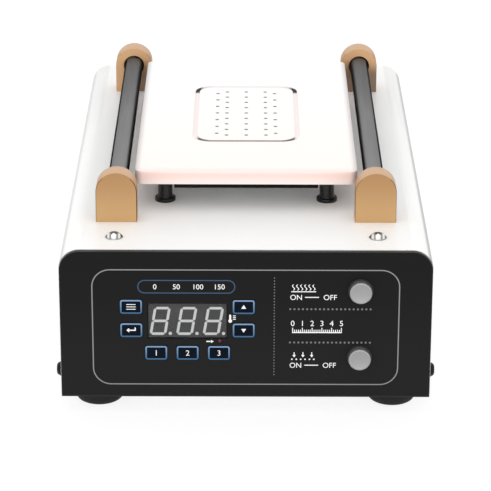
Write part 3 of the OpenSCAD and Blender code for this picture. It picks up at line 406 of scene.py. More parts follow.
# Terminal moulding: green nylon, matt from the mould.
refinish(finish("green_moulded_nylon", "#2f7d4f", 0.35, 0.012, 0.45, 0.6, IOR=1.53), "terminal_block")


# Vacuum pump: a drawn motor can, a moulded crank housing and head, a ground shaft and its rod.
# The shaft turns in the housing and the rod moves up and down above it.
refinish(finish("drawn_motor_can", "#b4b8bc", 0.4, 0.004, 0.25, 0.4, (1, 0.05, 1), Metallic=1.0),
         "pump_motor")
refinish(finish("black_glass_filled_nylon", "#2b2d31", 0.4, 0.015, 0.45, 0.62, IOR=1.53),
         "pump_housing", "pump_head")
refinish(finish("ground_steel_shaft", "#a9acb0", 0.15, 0.003, 0.15, 0.28, (1, 0.1, 1), Metallic=1.0),
         "pump_rotor")
refinish(finish("grey_acetal", "#8c8f94", 0.5, 0.01, 0.35, 0.5, IOR=1.48), "pump_rod")


# Mains inlet: a black flanged moulding with three plated pins and a drawer that holds the fuse.
# The drawer slides out to the rear, with the fuse lying across it.
inlet_moulding = finish("black_inlet_moulding", "#1b1b1d", 0.35, 0.015, 0.38, 0.55, IOR=1.55)
eased("power_inlet", "inlet_housing", inlet_moulding, "inlet_plastic", 0.25)
eased("fuse_drawer", "drawer_moulding", inlet_moulding, "inlet_plastic", 0.3, body="fuse_drawer")
# Nickel plated brass blades: bright, faintly warm, with rubbed sides.
nickel_blade = finish("nickel_plated_blade", "#c6c4be", 0.2, 0.004, 0.18, 0.32, (1, 0.1, 1), Metallic=1.0)
eased("inlet_pins", "inlet_blades", nickel_blade, "pin_metal", 0.35, 3)
fuse_middle = (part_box("fuse")[0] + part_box("fuse")[1]) / 2 / mm
cap_line = rounded([(0, 0, 0), (2.6, 0, 0.3), (2.6, 5, 0.1), (2.35, 5, 0), (2.35, 0.4, 0), (0, 0.4, 0)])
cap_places = [
    (fuse_middle + Vector((-10, 0, 0)), (0, 90, 0)), (fuse_middle + Vector((10, 0, 0)), (0, -90, 0))]
set_out("fuse_caps", turned("cap", cap_line, 32, False), cap_places, nickel_blade, "pin_metal",
        body="fuse_drawer")
# Clear glass tube of a fuse: a thin bright wall.
fuse_glass = finish("fuse_glass_tube", "#f4f8f6", 3, 0.002, 0.02, 0.05, IOR=1.5, Alpha=0.3)
tube_line = [(1.9, 0.6), (2.3, 0.6), (2.3, 19.4), (1.9, 19.4)]
tube_place = [(fuse_middle + Vector((-10, 0, 0)), (0, 90, 0))]
set_out("fuse_tube", turned("tube", tube_line, 32), tube_place, fuse_glass, "fuse_glass", "fuse",
        body="fuse_drawer")


# Front panel: a black moulded sheet on four studs, recessed for the keys.
# Only its rim shows round the printed film.
black_sheet_plastic = finish("black_abs_sheet", "#202022", 0.3, 0.008, 0.35, 0.5, IOR=1.54, gloss=0.25)
eased("front_panel", "panel_plate", black_sheet_plastic, "black_panel", 0.3, 3)


# Front film: a printed polyester overlay stuck on the panel, with openings for window and keys.
# Velvet-finish polyester: a dull black with a very fine pebble, drawn lighter low down and darker at the
# top.
velvet_film_painted_light = finish("velvet_polyester_film_painted_light", "#1c1c1d", 0.35, 0.004, 0.42, 0.52, IOR=1.5, gloss=0.12)


def axis(material, letter, middle=None):
    """A piece's own X, Y or Z in millimetres, or how far it is from a middle on either side."""
    tree = material.node_tree
    place = add(tree, "ShaderNodeTexCoord")
    parts = add(tree, "ShaderNodeSeparateXYZ", {"Vector": place.outputs["Object"]})
    value = add(tree, "ShaderNodeMath", {0: parts.outputs[letter], 1: 1 / mm}, operation="MULTIPLY")
    if middle is None:
        return value
    away = add(tree, "ShaderNodeMath", {0: value}, operation="ABSOLUTE")
    beyond = add(tree, "ShaderNodeMath", {0: away, 1: middle}, operation="SUBTRACT")
    return add(tree, "ShaderNodeMath", {0: beyond}, operation="ABSOLUTE")


def layered(material, tone, *layers):
    """Blends in layers, each along an axis between two values. None is the tone so far."""
    for letter, middle, low, high, first, last in layers:
        place = axis(material, letter, middle)
        tone = blend(material, place, low, high, first or tone, last or tone, "SMOOTHSTEP")
    return tone


# Painted light: the film is lighter low down, where the floor's bounce light falls, and darker towards the
# top.
layered(velvet_film_painted_light, None, ("Z", None, 15, 72, "#1b1b1c", "#131314"))
eased("front_film", "printed_film", velvet_film_painted_light, "black_film", 0.06)


# Print on the film: thin screen inks, grey for the field's outline and the dots, blue for the
# scale's frame and white for the small signs.
face_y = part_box("front_film")[0].y / mm
ink_y = face_y - 0.03


def box_line(x, z, w, h, r, steps):
    """A rounded rectangle's outline round a middle."""
    corners = [(x - w / 2, z - h / 2, r), (x + w / 2, z - h / 2, r), (x + w / 2, z + h / 2, r),
               (x - w / 2, z + h / 2, r)]
    return rounded(corners, steps)


def frame_line(x, z, w, h, r, line, steps):
    """The outer and inner outline of a rounded frame."""
    return [box_line(x, z, w, h, r, steps), box_line(x, z, w - 2 * line, h - 2 * line, r - line, steps)]


def disc_line(x, z, r, sides):
    """A circle's outline."""
    angles = [2 * math.pi * k / sides for k in range(sides)]
    return [(x + r * math.cos(a), z + r * math.sin(a)) for a in angles]


def bar_line(x1, z1, x2, z2, w):
    """The outline of a straight stroke."""
    run = Vector((x2 - x1, z2 - z1))
    side = Vector((-run.y, run.x)).normalized() * w / 2
    return [(x1 + side.x, z1 + side.y), (x1 - side.x, z1 - side.y), (x2 - side.x, z2 - side.y),
            (x2 + side.x, z2 + side.y)]


def upright(name, curve, front_y, depth):
    """Turns a flat filled curve or text into a thin mesh that faces the front."""
    curve.extrude = depth / 2 * mm
    holder = placed(name + "_holder", curve)
    mesh = settled(holder)
    bpy.data.objects.remove(holder)
    shape = bmesh.new()
    shape.from_mesh(mesh)
    bmesh.ops.remove_doubles(shape, verts=shape.verts, dist=0.001 * mm)
    bmesh.ops.transform(shape, matrix=Matrix.Rotation(math.radians(90), 4, "X"), verts=shape.verts)
    bmesh.ops.translate(shape, vec=(0, (front_y + depth / 2) * mm, 0), verts=shape.verts)
    bmesh.ops.recalc_face_normals(shape, faces=shape.faces)
    for face in shape.faces:
        face.smooth = False
    return mesh_object(name, shape)


def printed(name, outlines, front_y=ink_y, depth=0.05):
    """A thin flat piece from outlines in X and Z, where an outline inside another is a hole."""
    curve = bpy.data.curves.new(name, "CURVE")
    curve.dimensions = "2D"
    curve.fill_mode = "BOTH"
    for outline in outlines:
        spline = curve.splines.new("POLY")
        spline.points.add(len(outline) - 1)
        for point, (x, z) in zip(spline.points, outline):
            point.co = (x * mm, z * mm, 0, 1)
        spline.use_cyclic_u = True
    return upright(name, curve, front_y, depth)


def ink(name, colour):
    """Screen ink: a thin matt layer with a fine grain from the mesh it went through."""
    return finish(name, colour, 0.3, 0.003, 0.45, 0.6, IOR=1.48, gloss=0.2)


def lettered(name, words, x, z, height, front_y=ink_y, depth=0.05):
    """A plain numeral or word, centred on a point."""
    curve = bpy.data.curves.new(name, "FONT")
    curve.body = words
    curve.size = height / 0.7 * mm
    curve.align_x = "CENTER"
    made = upright(name, curve, front_y, depth)
    made.data.transform(Matrix.Translation((x * mm, 0, (z - height / 2) * mm)))
    return made


def joined(name, pieces):
    """Several flat pieces as one mesh."""
    shape = bmesh.new()
    for piece in pieces:
        shape.from_mesh(piece.data)
        bpy.data.objects.remove(piece)
    return mesh_object(name, shape)


grey_ink = ink("grey_screen_ink", "#8c8c8c")
blue_ink = ink("blue_screen_ink", "#38546f")
white_ink = ink("white_screen_ink", "#fbfbfb")
dot_ink = ink("dim_grey_screen_ink", "#767676")
dress(printed("field_frame", frame_line(-0.05, 40.3, 132.3, 53.9, 8, 0.5, 12)), grey_ink)
dress(printed("scale_frame", frame_line(-25.5, 59.25, 42.0, 6.3, 3.1, 0.5, 10)), blue_ink)


def dotted(name, runs, pitch, width, height, material):
    """Geometry Nodes walk along straight runs and set down a printed dot at every pitch."""
    def build(tree, start):
        walk = add(tree, "GeometryNodeMeshToCurve", {"Mesh": start["Runs"]})
        stops = add(tree, "GeometryNodeCurveToPoints", {"Curve": walk, "Length": start["Pitch"]},
                    mode="LENGTH")
        original = add(tree, "GeometryNodeObjectInfo", {"Object": start["Dot"]})
        return add(tree, "GeometryNodeInstanceOnPoints",
                   {"Points": stops, "Instance": original.outputs["Geometry"]})

    dot = printed("dot", [box_line(0, 0, width, height, min(width, height) * 0.45, 3)], 0)
    ends = [Vector((x * mm, ink_y * mm, z * mm)) for run in runs for x, z in run]
    lines = bpy.data.meshes.new(name + "_runs")
    lines.from_pydata(ends, [(i, i + 1) for i in range(0, len(ends), 2)], [])
    settings = {"Dot": ("Object", dot), "Pitch": ("Float", pitch * mm)}
    dress(grown(name, "Runs", lines, material, settings, build, dot), material)


dotted("level_dots", [[(19.1, 49.0), (53.6, 49.0)], [(19.1, 33.4), (53.6, 33.4)]], 1.8, 0.9, 0.9, dot_ink)
dotted("upright_dots", [[(12.25, 18.2), (12.25, 63.4)]], 1.35, 0.5, 0.6, dot_ink)
# Signs in white ink: a plain scale, heat waves, holes with a downward arrow, and ON OFF below them.
signs = [lettered("scale_" + str(i), str(50 * i), -39 + 9.2 * i, 59.25, 2.3) for i in range(4)]
for row, z in (("heat", 54.5), ("suction", 22.7)):
    signs += [lettered(row + "_on", "ON", 21.6, z, 2.35), lettered(row + "_off", "OFF", 36.2, z, 2.35),
              printed(row + "_stroke", [bar_line(25.4, z, 31.4, z, 0.4)])]
# Between the two rows of dots lies a plain ruled scale.
rule_start, tick_pitch = 20.2, 0.84
signs += [lettered("rule_" + str(i), str(i), rule_start + 5 * tick_pitch * i, 42.4, 2.5) for i in range(6)]
tick_places = [rule_start + tick_pitch * i for i in range(26)]
ticks = [bar_line(x, 38.3, x, 40.3 if i % 5 == 0 else 39.4, 0.36) for i, x in enumerate(tick_places)]
ticks.append(bar_line(20.0, 38.1, 41.4, 38.1, 0.45))
signs.append(printed("rule_ticks", ticks))


def wave_line(x, z, h):
    """A rising heat wave's outline."""
    steps = [k / 12 for k in range(13)]
    left = [(x + 0.45 * math.sin(2 * math.pi * t), z + h * t) for t in steps]
    return [(a - 0.2, b) for a, b in left] + [(a + 0.2, b) for a, b in reversed(left)]


heat_sign = [wave_line(20.4 + 1.75 * i, 57.7, 2.7) for i in range(6)]
heat_sign.append(bar_line(19.5, 57.1, 30.1, 57.1, 0.4))
suction_sign = [disc_line(20.0 + 1.9 * i, 25.5, 0.36, 12) for i in range(6)]
suction_sign += [[(x - 0.2, 28.8), (x - 0.2, 27.5), (x - 0.75, 27.5), (x, 26.4), (x + 0.75, 27.5),
                  (x + 0.2, 27.5), (x + 0.2, 28.8)] for x in (20.95, 24.75, 28.55)]
out_sign = [[(-15.0, 34.5), (-15.0, 33.1), (-13.8, 33.8)], bar_line(-17.0, 33.8, -15.2, 33.8, 0.5)]
out_sign += [bar_line(-5.5, z, -4.3, z, 0.35) for z in (44.2, 45.0, 45.8)]
warm_sign = [rounded([(-6.3, 43.9, 0.2), (-6.3, 46.4, 0.4), (-7.1, 46.4, 0.4), (-7.1, 43.9, 0.2)], 4),
             disc_line(-6.7, 43.4, 0.8, 16)]
signs.append(printed("pictograms", heat_sign + suction_sign + out_sign))
signs.append(printed("warm_stem", warm_sign[:1]))
signs.append(printed("warm_bulb", warm_sign[1:], ink_y - 0.004))
dress(joined("film_signs", signs), white_ink)


# Display: a sealed three-digit block behind the window. Its face is grey and the unlit segments
# are pale, with slanted figures and a point after each.
display_face = finish("grey_display_face", "#494949", 0.4, 0.004, 0.5, 0.62, IOR=1.5, gloss=0.15)
drift(display_face, "#474747", "#4d4d4d", 8)
eased("display_module", "display_block", display_face, "display_grey", 0.15)


def segment(x1, z1, x2, z2, w):
    """A long six-sided segment between two points."""
    run = Vector((x2 - x1, z2 - z1)).normalized()
    side = Vector((-run.y, run.x)) * w / 2
    a, b = Vector((x1, z1)), Vector((x2, z2))
    tip = run * w / 2
    ends = [a, a + tip + side, b - tip + side, b, b - tip - side, a + tip - side]
    return [(p.x, p.y) for p in ends]


def figure(x, z, w, h, stroke):
    """The seven segments of a slanted figure whose lower left corner is at x, z."""
    lean = math.tan(math.radians(9.6))
    left, right = stroke / 2, w - stroke / 2
    low, half, high = left, h / 2, h - left
    gap = 0.12
    runs = [(left + gap, level, right - gap, level) for level in (low, half, high)]
    runs += [(edge, foot + gap, edge, top - gap)
             for edge in (left, right) for foot, top in ((low, half), (half, high))]
    shapes = [segment(*run, stroke) for run in runs]
    return [[(x + a + lean * b, z + b) for a, b in shape] for shape in shapes]


digits = [line for i in range(3) for line in figure(-41.6 + 11.45 * i, 36.5, 7.25, 13.1, 1.15)]
digits += [disc_line(-32.55 + 11.5 * i, 37.2, 0.75, 16) for i in range(3)]
# Unlit segment resin: a milky pale grey that is even and soft.
milky_resin = finish("milky_segment_resin", "#dadada", 0.4, 0.003, 0.4, 0.5, IOR=1.5, Subsurface_Weight=0.1)
dress(printed("display_segments", digits, face_y + 0.72, 0.1), milky_resin)
# Clear acrylic window: nearly all light goes through, and it only greys the face a little.
clear_acrylic = finish("clear_acrylic_window", "#3c3c3e", 5, 0.002, 0.1, 0.16, IOR=1.49, Alpha=0.05)
window = printed("window_lens", [box_line(-25.1, 43.2, 34.1, 16.2, 0.3, 3)], face_y, 0.68)
dress(window, clear_acrylic, "clear_window", "display_window")


# Keys: seven raised pads of embossed film, each on a stem that ends on its switch.
# A pad is navy with a lighter blue frame, and its sign is white.
pad_film = finish("embossed_navy_film", "#060e1a", 0.35, 0.004, 0.32, 0.44, IOR=1.5, gloss=0.06)
drift(pad_film, "#050c16", "#08121f", 3)
# Blue frame ink, drawn paler on the upper edge as a painted highlight where the raised rim catches the
# light.
# Each rim's own "rise" runs from -1 at its foot to 1 at its top.
rim_ink_painted_highlight = ink("blue_rim_ink_painted_highlight", "#5f8fb8")
rim_rise = add(rim_ink_painted_highlight.node_tree, "ShaderNodeAttribute", attribute_name="rise")
blend(rim_ink_painted_highlight, rim_rise.outputs["Fac"], -0.9, 0.95, "#3d6588", "#7d9dbf")
sign_y = face_y - 0.35
slider_sign = [bar_line(-2.0, z, 2.0, z, 0.3) for z in (1.1, 0, -1.1)]
enter_sign = [[(-2.1, 0), (-0.9, 1.0), (-0.9, 0.25), (1.45, 0.25), (1.45, 1.3), (1.95, 1.3),
               (1.95, -0.25), (-0.9, -0.25), (-0.9, -1.0)]]
up_sign = [[(-1.05, -0.75), (1.05, -0.75), (0, 1.0)]]
down_sign = [[(-1.05, 0.75), (0, -1.0), (1.05, 0.75)]]
key_signs = {"set_key": slider_sign, "enter_key": enter_sign, "up_key": up_sign,
             "down_key": down_sign, "channel_1_key": "1", "channel_2_key": "2", "channel_3_key": "3"}
for key, sign in key_signs.items():
    low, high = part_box(key)
    key_x, key_z = (low.x + high.x) / 2 / mm, (low.z + high.z) / 2 / mm
    eased(key, key + "_pad", pad_film, "blue_key", 0.2, 3, body=key)
    rim = printed(key + "_rim", frame_line(key_x, key_z, 9.4, 6.4, 1.05, 0.65, 5), sign_y - 0.03, 0.06)
    rise = rim.data.attributes.new("rise", "FLOAT", "POINT")
    for share, vertex in zip(rise.data, rim.data.vertices):
        share.value = (vertex.co.z / mm - key_z) / 3.2
    dress(rim, rim_ink_painted_highlight, body=key)
    if isinstance(sign, str):
        mark = lettered(key + "_mark", sign, key_x, key_z, 2.5, sign_y - 0.03, 0.06)
    else:
        moved = [[(key_x + a, key_z + b) for a, b in line] for line in sign]
        mark = printed(key + "_mark", moved, sign_y - 0.03, 0.06)
    dress(mark, white_ink, body=key)


# Key switches: seven small push contacts on the control board, black mouldings.
switch_moulding = finish("black_switch_moulding", "#232324", 0.3, 0.01, 0.32, 0.48, IOR=1.54, gloss=0.3)
refinish(switch_moulding, "tact_switches")


# Indicator: a small red lamp with a domed top that ends just inside the film.
# Unlit red resin: a dull dark red, since the lamp is off.
red_resin = finish("unlit_red_resin", "#66303a", 2, 0.002, 0.25, 0.35, IOR=1.55, gloss=0.2)
led_line = [(0, 9.4)] + rounded([(1.4, 9.4, 0.1), (1.4, 7.4, 0.1), (1, 7.4, 0), (1, 0.7, 0)], 3, False)
led_line += [(math.cos(a), 0.7 - 0.6 * math.sin(a)) for a in (0.3, 0.6, 0.9, 1.2)] + [(0, 0.1)]
led_place = [((-11.2, face_y, 33.8), (-90, 0, 0))]
set_out("lamp_dome", turned("dome", led_line, 32, False), led_place, red_resin, "red_led", "indicator_led")


# Push switches: a black bezel and barrel through the panel, with the body and lugs behind it.
barrel_end = 11
bezel_line = rounded([(4.95, 6.6, 0), (4.95, -0.6, 0.12), (5.5, -0.6, 0.25), (5.5, 0, 0), (5.3, 0, 0),
                      (5.3, barrel_end, 0), (2.05, barrel_end, 0), (2.05, 6.6, 0)], 4)
button_places = [((49.2, face_y, 57.6), (-90, 0, 0)), ((49.2, face_y, 26.6), (-90, 0, 0))]
set_out("switch_bezels", turned("bezel", bezel_line, 72), button_places, switch_moulding, "switch_black")
switches = loose_copy("push_switches", "switch_bodies")
cutter = bmesh.new()
cutter.from_mesh(switches.data)
front_verts = [v for v in cutter.verts if v.co.y < (face_y + barrel_end - 0.1) * mm]
bmesh.ops.delete(cutter, geom=front_verts, context="VERTS")
bmesh.ops.holes_fill(cutter, edges=[e for e in cutter.edges if e.is_boundary], sides=0)
bmesh.ops.recalc_face_normals(cutter, faces=cutter.faces)
cutter.to_mesh(switches.data)
cutter.free()
ease_edges(switches, 0.12)
dress(switches, switch_moulding, "switch_black", "push_switches")


# Push caps: turned and plated, with a soft edge and a slightly hollow face. The stem behind stays
# clear of the switch when a cap is pressed.
# Satin chrome: pale grey metal that scatters the room, with a faint fine grain.
satin_chrome = finish("satin_chromed_cap", "#a1a1a1", 0.5, 0.004, 0.42, 0.55, Metallic=0.85)
cap_edge = [(4.1, -3.54, 0), (4.22, -3.6, 0.1), (4.9, -3.6, 0.65), (4.9, 4, 0), (2, 4, 0), (2, 8.2, 0)]
cap_line = [(0, -3.5)] + rounded(cap_edge, closed=False)[1:] + [(0, 8.2)]
for cap, place in zip(("heating_button", "vacuum_button"), button_places):
    set_out(cap + "_cap", turned("cap", cap_line, 72, False), [place], satin_chrome, "silver_cap",
            cap, body=cap)


# Cover: the upper half of the case, folded over from one sheet and powder coated like the tray.
# Its two long bends are wide, and its front edge stands round the panel.
# The same enamel, with a painted grey shade on each bend, as a bend shows against a bright room, more at the
# right.
bend_painted_shade_enamel = white_enamel.copy()
bend_painted_shade_enamel.name = "white_powder_enamel_over_bends"
even_tone = bend_painted_shade_enamel.node_tree.nodes["Principled BSDF"].inputs["Base Color"].links[0].from_socket
layered(bend_painted_shade_enamel, even_tone, ("X", None, 77.6, 79.0, None, "#b6b6b6"),
        ("X", None, -79.0, -77.6, "#dadada", None), ("Z", None, 65.5, 67.8, even_tone, None))
eased("top_cover", "folded_cover", bend_painted_shade_enamel, "white_enamel", 0.3)


# Screws that show: two domed bright ones on the cover and four black ones low on the sides.
# Each has a pressed cross recess that narrows as it goes down.
def cross_screw(name, line, top, arm, width, depth):
    """A lathe head and shank, less a cross whose arms taper."""
    body = turned(name, line, 48, False)
    shape = bmesh.new()
    for turn in (0, 90):
        ring = []
        for z, half, wide in ((top - depth, arm * 0.22, width * 0.3), (top + 0.5, arm / 2, width / 2)):
            for x, y in ((-half, -wide), (half, -wide), (half, wide), (-half, wide)):
                spot = Matrix.Rotation(math.radians(turn), 3, "Z") @ Vector((x, y, z))
                ring.append(shape.verts.new(spot * mm))
        for face in ((3, 2, 1, 0), (4, 5, 6, 7), (0, 1, 5, 4), (1, 2, 6, 5), (2, 3, 7, 6), (3, 0, 4, 7)):
            shape.faces.new([ring[i] for i in face])
    punch = mesh_object(name + "_punch", shape)
    cut = body.modifiers.new("recess", "BOOLEAN")
    cut.operation = "DIFFERENCE"
    cut.object = punch
    cut.solver = "EXACT"
    cut.use_self = True
    made = placed(name + "_cut", settled(body))
    for old in (body, punch):
        bpy.data.objects.remove(old)
    made.data.set_sharp_from_angle(angle=math.radians(35))
    return made


# Polished nickel plate: bright and warm, nearly a mirror, with fine handling marks.
nickel_painted_reflections = finish("nickel_plate_painted_reflections", "#cfcdc8", 0.6, 0.003, 0.16, 0.3, Metallic=1.0)
head_x = 57
# Painted reflections across each head, in upright bands: bright in the middle, greyer beside it, bright
# again, nearly black towards the left and right edges, and greyer at its foot.
layered(nickel_painted_reflections, None, ("X", head_x, 0.7, 1.3, "#f4f3f0", "#9a9793"),
        ("X", head_x, 1.6, 2.2, None, "#efeeea"), ("X", head_x, 2.5, 3.3, None, "#34312e"),
        ("Z", None, 75.6, 76.3, "#a3a09c", None))
cover_top = 75.5
head_rise = 2.4
dome = 4.37
dome_line = [(0, -6), (2, -6), (2, 0), (3.8, 0), (3.9, 0.15)]
dome_line += [(dome * math.sin(a), head_rise - dome + dome * math.cos(a))
              for a in [1.05 * (1 - k / 8) for k in range(8)]] + [(0, head_rise)]
top_places = [((x, face_y + 16.9, cover_top), (0, 0, 45)) for x in (-head_x, head_x)]
top_heads = set_out(
    "domed_screws", cross_screw("domed", dome_line, head_rise, 5.2, 1.5, 1.3), top_places, nickel_painted_reflections,
    "chrome_screw", "top_screws", seed=3)
# The pressed recess is drawn dark grey, as painted shade in the cross.
recess_painted_shade = finish("painted_shade_in_recess", "#7c7a78", 0.2, 0.005, 0.45, 0.6, gloss=0.2)
top_heads.data.materials.append(recess_painted_shade)
for face in top_heads.data.polygons:
    spot = face.center / mm
    out = min(math.hypot(spot.x - place[0], spot.y - place[1]) for place, lie in top_places)
    skin = head_rise - dome + math.sqrt(dome ** 2 - min(out, dome) ** 2)
    if out < 2.6 and cover_top + 0.1 < spot.z < cover_top + skin - 0.12:
        face.material_index = 1
# Black oxide on steel: nearly black, with an oily satin gleam.
black_oxide = finish("black_oxide_steel", "#161617", 0.3, 0.005, 0.32, 0.46, Metallic=0.7)
side_line = [(0, -6), (1.3, -6)]
side_line += rounded(
    [(1.5, -6, 0), (1.5, 0, 0), (3.3, 0, 0.1), (3.3, 0.6, 0.3), (2.4, 2.35, 1.4), (0, 2.5, 0)], 4, False)
side_places = [((s * 80.3, face_y + y, 15.5), (0, s * 90, 0)) for s in (-1, 1) for y in (12, 254)]
set_out("black_side_screws", cross_screw("pan", side_line, 2.5, 3.8, 0.95, 1.4), side_places,
        black_oxide, "black_screw", "side_screws", spin=1.5, seed=5)


# Grommets: two rubber rings snapped into the cover, for the suction pipe and the heater leads.
grommet_line = rounded(
    [(3.1, -2.4, 0.3), (6.2, -2.4, 0.5), (6.2, -1.2, 0), (4.7, -1.2, 0), (4.7, 0, 0), (6.2, 0, 0),
     (6.2, 1.2, 0.5), (3.1, 1.2, 0.3)], 4)
grommet_places = [((x, middle_y, cover_top), (0, 0, 0)) for x in (0, 24)]
set_out("cover_rings", turned("ring", grommet_line, 48), grommet_places, rubber, "black_rubber",
        "cover_grommets")


# Brackets: four milled aluminium blocks with a half-round top, screwed to the cover from inside.
# Gold anodised and bead blasted: a soft bronze with a sealed skin that mirrors a little of the room.
# Its tones are painted light and shade: the front faces paler low down, the rounds paler towards the top,
# and the rear blocks darker low down and towards the middle, paler on the left one's outer side.
def anodised(name, level_low, level_high, low, high):
    made = finish(name, low, 0.35, 0.006, 0.45, 0.55, Metallic=0.35, Coat_Weight=0.15, Coat_Roughness=0.4)
    return made, layered(made, None, ("Z", None, level_low, level_high, low, high))


front_gold_painted_shade, front_shade_tone = anodised("gold_anodised_front_painted_shade", 76, 100, "#c69e6c", "#ae8455")
rear_gold_painted_shade, rear_shade_tone = anodised("gold_anodised_rear_painted_shade", 78, 90, "#9c7650", "#d9ad80")
round_gold_painted_highlight, round_highlight_tone = anodised("gold_anodised_round_painted_highlight", 92, 97.5, "#b98e62", "#d2ac88")
# Painted shade on the rear blocks: darker towards the middle low down, paler on the left one's outer side.
layered(rear_gold_painted_shade, rear_shade_tone, ("X", None, -55.5, -53.5, None, "#8d7460"),
        ("Z", None, 84, 92, None, rear_shade_tone), ("X", None, -61, -59, "#d8ac7e", None))
# The eased edges are drawn as thin brown lines of painted shade, darkest at the right, away from the light.
edge_painted_shade = finish("painted_shade_on_edge", "#74532f", 0.35, 0.006, 0.42, 0.55, gloss=0.1)
edge_painted_deep_shade = finish("painted_deep_shade_on_edge", "#2a1d10", 0.35, 0.006, 0.42, 0.55, gloss=0.05)
for corner in ("front_left", "front_right", "rear_left", "rear_right"):
    gold = front_gold_painted_shade if corner.startswith("front") else rear_gold_painted_shade
    bracket = eased(corner + "_bracket", corner + "_block", gold, "gold_anodised", 0.6)
    for other in (round_gold_painted_highlight, edge_painted_shade, edge_painted_deep_shade):
        bracket.data.materials.append(other)
    low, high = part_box(corner + "_bracket")
    # Faces that face neither front nor back take the round tone with its painted highlight; eased edges take
    # the painted shade, the darker one on the right.
    for face in bracket.data.polygons:
        lean = abs(face.normal.y)
        aside = face.center.x - (low.x + high.x) / 2
        if lean < 0.05:
            face.material_index = 1
        elif lean < 0.999 and low.z + 1 * mm < face.center.z < high.z - 2.5 * mm:
            face.material_index = 3 if aside > 0 else 2


# Rails: two round steel rods whose ends sit in blind bores in the brackets.
# Dark chromed and drawn: a long soft streak of light down the top and fine lengthwise lines.
dark_chrome = finish(
    "dark_chromed_rod_painted_shade", "#a6a6a6", 0.3, 0.004, 0.36, 0.46, (1, 0.02, 1), Metallic=0.95, Anisotropic=0.3,
    Specular_Tint=srgb("#505050"))
# Across each rod the colour is painted shade: a wide dark band on the side towards the plate, a narrow one
# on the outer side, and lighter between them.
layered(dark_chrome, None, ("X", 0, 52.8, 54.0, "#636363", "#a8a8a8"),
        ("X", 0, 59.9, 60.4, None, "#2c2c2c"), ("X", 0, 52.6, 53.0, "#3a3a3a", None))
for side, x in (("left_rail", -56.8), ("right_rail", 56.8)):
    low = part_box(side)[0].y / mm
    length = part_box(side)[1].y / mm - low
    rod_line = rounded([(0, 0, 0), (4.45, 0, 0.6), (4.45, length, 0.6), (0, length, 0)], 4, False)
    set_out(side + "_rod", turned("rod", rod_line, 72, False), [((x, low, 89.2), (-90, 0, 0))],
            dark_chrome, "dark_rod", side)


# Plate: a milled aluminium block with rounded upper edges, a shallow groove round the suction
# island and 41 small holes into the pocket below. It is coated warm white.
# Fired ceramic coat: a satin warm white, purest at the rear and warmer near the front edge. The pink on
# the front edge and on the sides below the top, and the grey at both ends beside the brackets, are painted
# shade.
warm_coat_painted_shade = finish(
    "warm_white_ceramic_coat_painted_shade", "#fffcfa", 0.8, 0.003, 0.35, 0.45, IOR=1.5, Coat_Weight=0.1,
    Coat_Roughness=0.3)
layered(warm_coat_painted_shade, None, ("Y", None, -85, 60, "#fff9f4", "#fffefd"),
        ("Y", None, -82.6, -76, "#fdeae5", None), ("Z", None, 92.0, 93.5, "#f9d9d0", None),
        ("Z", None, 88.5, 91.8, "#f7e6e1", None), ("X", 0, 46.0, 51.2, None, "#a39a98"))
# In the groove the coat is pale along the sides. The dull mauve along the front, the grey round the front
# corners and the dark spot at each rear corner are painted shade.
groove_coat_painted_shade = finish("groove_painted_shade", "#fbf1ee", 0.4, 0.004, 0.4, 0.55, IOR=1.5)
groove_shade_tree = groove_coat_painted_shade.node_tree


def past(letter, straight):
    """How far a point lies past the straight stretch of the groove, on either side."""
    beyond = add(groove_shade_tree, "ShaderNodeMath", {0: axis(groove_coat_painted_shade, letter, 0), 1: straight},
                 operation="SUBTRACT")
    return add(groove_shade_tree, "ShaderNodeMath", {0: beyond, 1: 0.01}, operation="MAXIMUM")


turned_by = add(groove_shade_tree, "ShaderNodeMath", {0: past("Y", 32.6), 1: past("X", 15.65)}, operation="ARCTAN2")
corner_share = add(groove_shade_tree, "ShaderNodeMapRange", {"Value": turned_by, "From Max": math.pi / 2})


def tones(stops):
    """A colour that runs through tones at shares of the way round a corner."""
    ramp = add(groove_shade_tree, "ShaderNodeValToRGB", {"Fac": corner_share})
    marks = ramp.color_ramp.elements
    marks[0].color = srgb(stops[0][1])
    marks[1].color = srgb(stops[-1][1])
    for share, colour in stops[1:-1]:
        marks.new(share).color = srgb(colour)
    return ramp


front_shade_tone = tones([(0, "#fdf5f3"), (0.08, "#f6ebe7"), (0.28, "#99928f"), (0.62, "#99928f"), (1, "#c4b6b4")])
rear_shade_spot_tone = tones(
    [(0, "#fdf5f3"), (0.08, "#f8eeeb"), (0.18, "#5a5656"), (0.45, "#5a5656"), (0.62, "#eae6e4"),
     (1, "#f5f2f0")])
at_rear = add(groove_shade_tree, "ShaderNodeMath", {0: axis(groove_coat_painted_shade, "Y"), 1: 0.0}, operation="GREATER_THAN")
groove_shade_tone = add(groove_shade_tree, "ShaderNodeMix", {"Factor": at_rear, "A": front_shade_tone, "B": rear_shade_spot_tone},
                  data_type="RGBA")
groove_shade_tree.links.new(groove_shade_tone.outputs["Result"], groove_shade_tree.nodes["Principled BSDF"].inputs["Base Color"])
# In the holes and on their chamfers: a pale dull grey, for the bare drilled aluminium together with painted
# shade.
bore_metal_and_shade = finish("bare_aluminium_and_shade_in_holes", "#b6b4b2", 0.3, 0.004, 0.35, 0.5, gloss=0.2)
plate = loose_copy("heating_plate", "suction_plate")
plate_low, plate_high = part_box("heating_plate")
plate_half_length = 82.25
edge_zone = 3.6
island = (15, 36)
groove = (25, 42)
speck = 0.01 * mm


def within(points, half):
    """Whether points lie in a rectangle round the island's middle, given by its half sizes."""
    return all(abs(p.x) < half[0] * mm and abs(p.y) < half[1] * mm for p in points)


